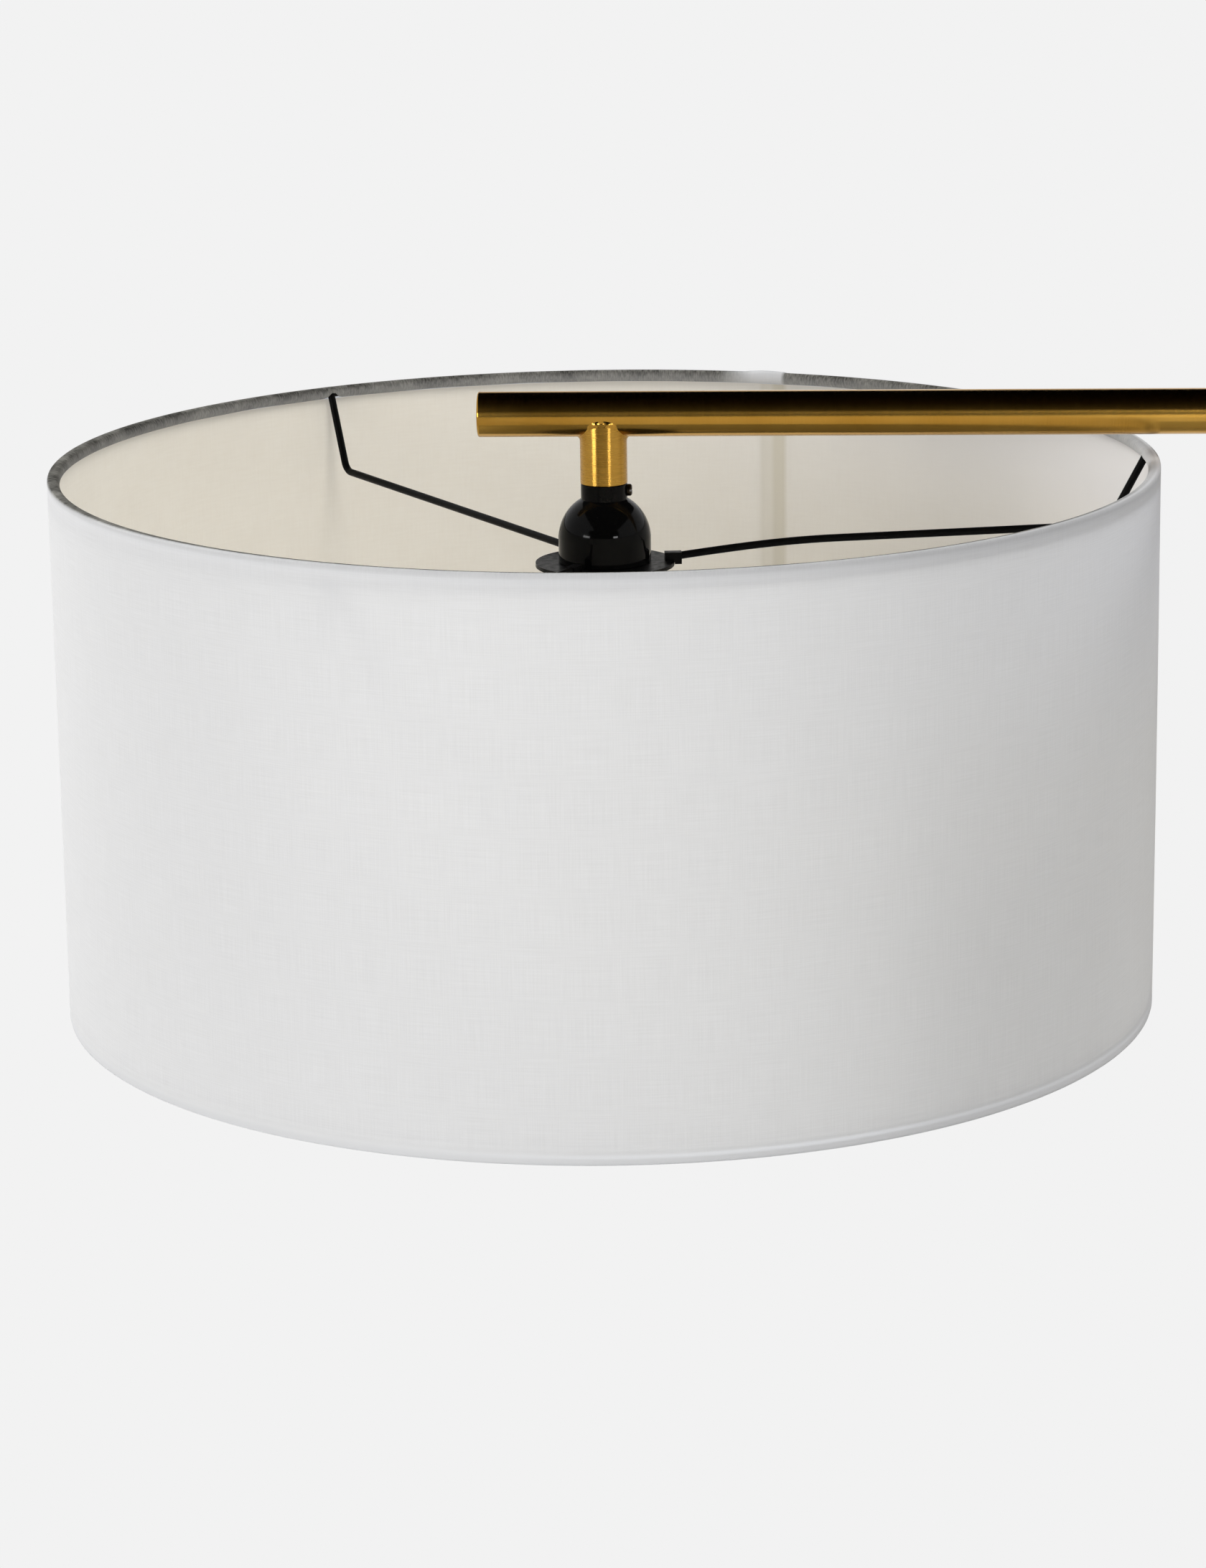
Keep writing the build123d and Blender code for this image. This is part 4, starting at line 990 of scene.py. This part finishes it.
# Matt paper: no gloss and a faint grain, drawn coarser than a real one so as to show.
paper, tree, shader = new_material("pale_paper", Roughness=0.9)
grain_mm = 3.0
place = node(tree, "ShaderNodeTexCoord").outputs["Object"]
grain = node(tree, "ShaderNodeTexNoise", {"Vector": place, "Scale": 1000 / grain_mm, "Detail": 2.0})
tone = node(tree, "ShaderNodeMix", {0: grain.outputs[0], 6: linear("#EEEEEE"), 7: linear("#F4F4F4")},
            data_type="RGBA")
tree.links.new(tone.outputs[2], shader.inputs["Base Color"])
from_pole = node(tree, "ShaderNodeVectorMath", {0: place}, operation="LENGTH")
fade = node(tree, "ShaderNodeMapRange",
            {"Value": from_pole.outputs["Value"], 1: FADE_FROM, 2: FADE_TO, 3: FADE_UNDER, 4: 1.0},
            interpolation_type="SMOOTHSTEP")
even = node(tree, "ShaderNodeMath", {0: fade.outputs[0], 1: seen_directly(tree)}, operation="MULTIPLY")
glow = node(tree, "ShaderNodeEmission", {"Color": BACKDROP, "Strength": 1.0})
both = node(tree, "ShaderNodeMixShader", {0: even.outputs[0], 1: shader.outputs[0], 2: glow.outputs[0]})
tree.links.new(both.outputs[0], tree.nodes["Material Output"].inputs["Surface"])
floor_mesh.materials.append(paper)

LIGHT_DISTANCE = 2.6
shade_centre = Vector((shade_x, 0, (cloth_low.z + cloth_high.z) / 2))


def soft_light(name, azimuth, elevation, size, power, lights=True, mirrored=False):
    """An area light aimed at the shade, azimuth from the camera's side to the right. It lights the set,
    is mirrored in metal and phenolic, or both."""
    a, e = math.radians(azimuth), math.radians(elevation)
    away = Vector((math.sin(a) * math.cos(e), -math.cos(a) * math.cos(e), math.sin(e)))
    data = bpy.data.lights.new(name, "AREA")
    data.shape = "RECTANGLE"
    data.size, data.size_y = size
    data.energy = power
    light = bpy.data.objects.new(name, data)
    light.location = shade_centre + away * LIGHT_DISTANCE
    light.rotation_euler = away.to_track_quat("Z", "Y").to_euler()
    light.visible_camera = False
    light.visible_glossy = mirrored
    light.visible_diffuse = light.visible_transmission = lights
    scene.collection.objects.link(light)


soft_light("key", -44, -2, size=(0.8, 1.5), power=46, mirrored=True)
soft_light("strip", 30.5, -2, size=(0.5, 1.5), power=16, lights=False, mirrored=True)
soft_light("glint_left", -44, 12.5, size=(0.7, 0.16), power=2.5, lights=False, mirrored=True)
soft_light("glint_right", 30.5, 12.5, size=(0.5, 0.16), power=5, lights=False, mirrored=True)
soft_light("main", 36, 52, size=(0.9, 1.4), power=33)
soft_light("back", -130, 35, size=(1.2, 1.0), power=54)

for name, colour, place, size, tilt in (
        ("flag_over", "#000000", (shade_x + 0.36, 0, 3.3), (3.4, 6.0), 0),
        ("flag_front", "#000000", (shade_x, -4.2, 2.6), (7.0, 3.0), 90),
        ("flag_under", "#7A7A7A", (shade_x, -0.6, 0.002), (0.9, 2.4), 0)):
    mesh = bpy.data.meshes.new(name)
    x, y = size[0] / 2, size[1] / 2
    mesh.from_pydata([(-x, -y, 0), (x, -y, 0), (x, y, 0), (-x, y, 0)], [], [(0, 1, 2, 3)])
    # Matt flag cloth: it gives back no gloss at all.
    flag_cloth = new_material(name, Base_Color=linear(colour), Roughness=1.0, Specular_IOR_Level=0.0)[0]
    mesh.materials.append(flag_cloth)
    flag = bpy.data.objects.new(name, mesh)
    flag.location = place
    flag.rotation_euler = (math.radians(tilt), 0, 0)
    flag.visible_camera = flag.visible_diffuse = flag.visible_shadow = flag.visible_transmission = False
    scene.collection.objects.link(flag)


# Camera
# The photograph's own viewpoint: a long lens a little above the shade, looking down over its rim,
# worked out from the two rims of the drum.

CAMERA_AZIMUTH = math.radians(3.0)
CAMERA_DISTANCE = 1.892
CAMERA_RISE = 0.350
PITCH = math.radians(14.498)
ROLL = math.radians(-0.8)
YAW = math.radians(-0.065)
FOCAL_PIXELS = 6439
IMAGE_HEIGHT = 2185
SENSOR_MM = 36.0
data = bpy.data.cameras.new("camera")
data.sensor_width = SENSOR_MM
data.lens = FOCAL_PIXELS / IMAGE_HEIGHT * SENSOR_MM
camera = bpy.data.objects.new("camera", data)
to_shade = Vector((-math.sin(CAMERA_AZIMUTH), math.cos(CAMERA_AZIMUTH), 0))
level_ahead = Matrix.Rotation(-YAW, 3, "Z") @ to_shade
level_right = level_ahead.cross(Vector((0, 0, 1)))
ahead = level_ahead * math.cos(PITCH) - Vector((0, 0, math.sin(PITCH)))
above = level_right.cross(ahead)
right = level_right * math.cos(ROLL) + above * math.sin(ROLL)
up = above * math.cos(ROLL) - level_right * math.sin(ROLL)
shade_top = Vector((shade_x, 0, cloth_high.z))
camera.location = shade_top - to_shade * CAMERA_DISTANCE + Vector((0, 0, CAMERA_RISE))
camera.rotation_euler = Matrix((right, up, -ahead)).transposed().to_euler()
scene.collection.objects.link(camera)
scene.camera = camera
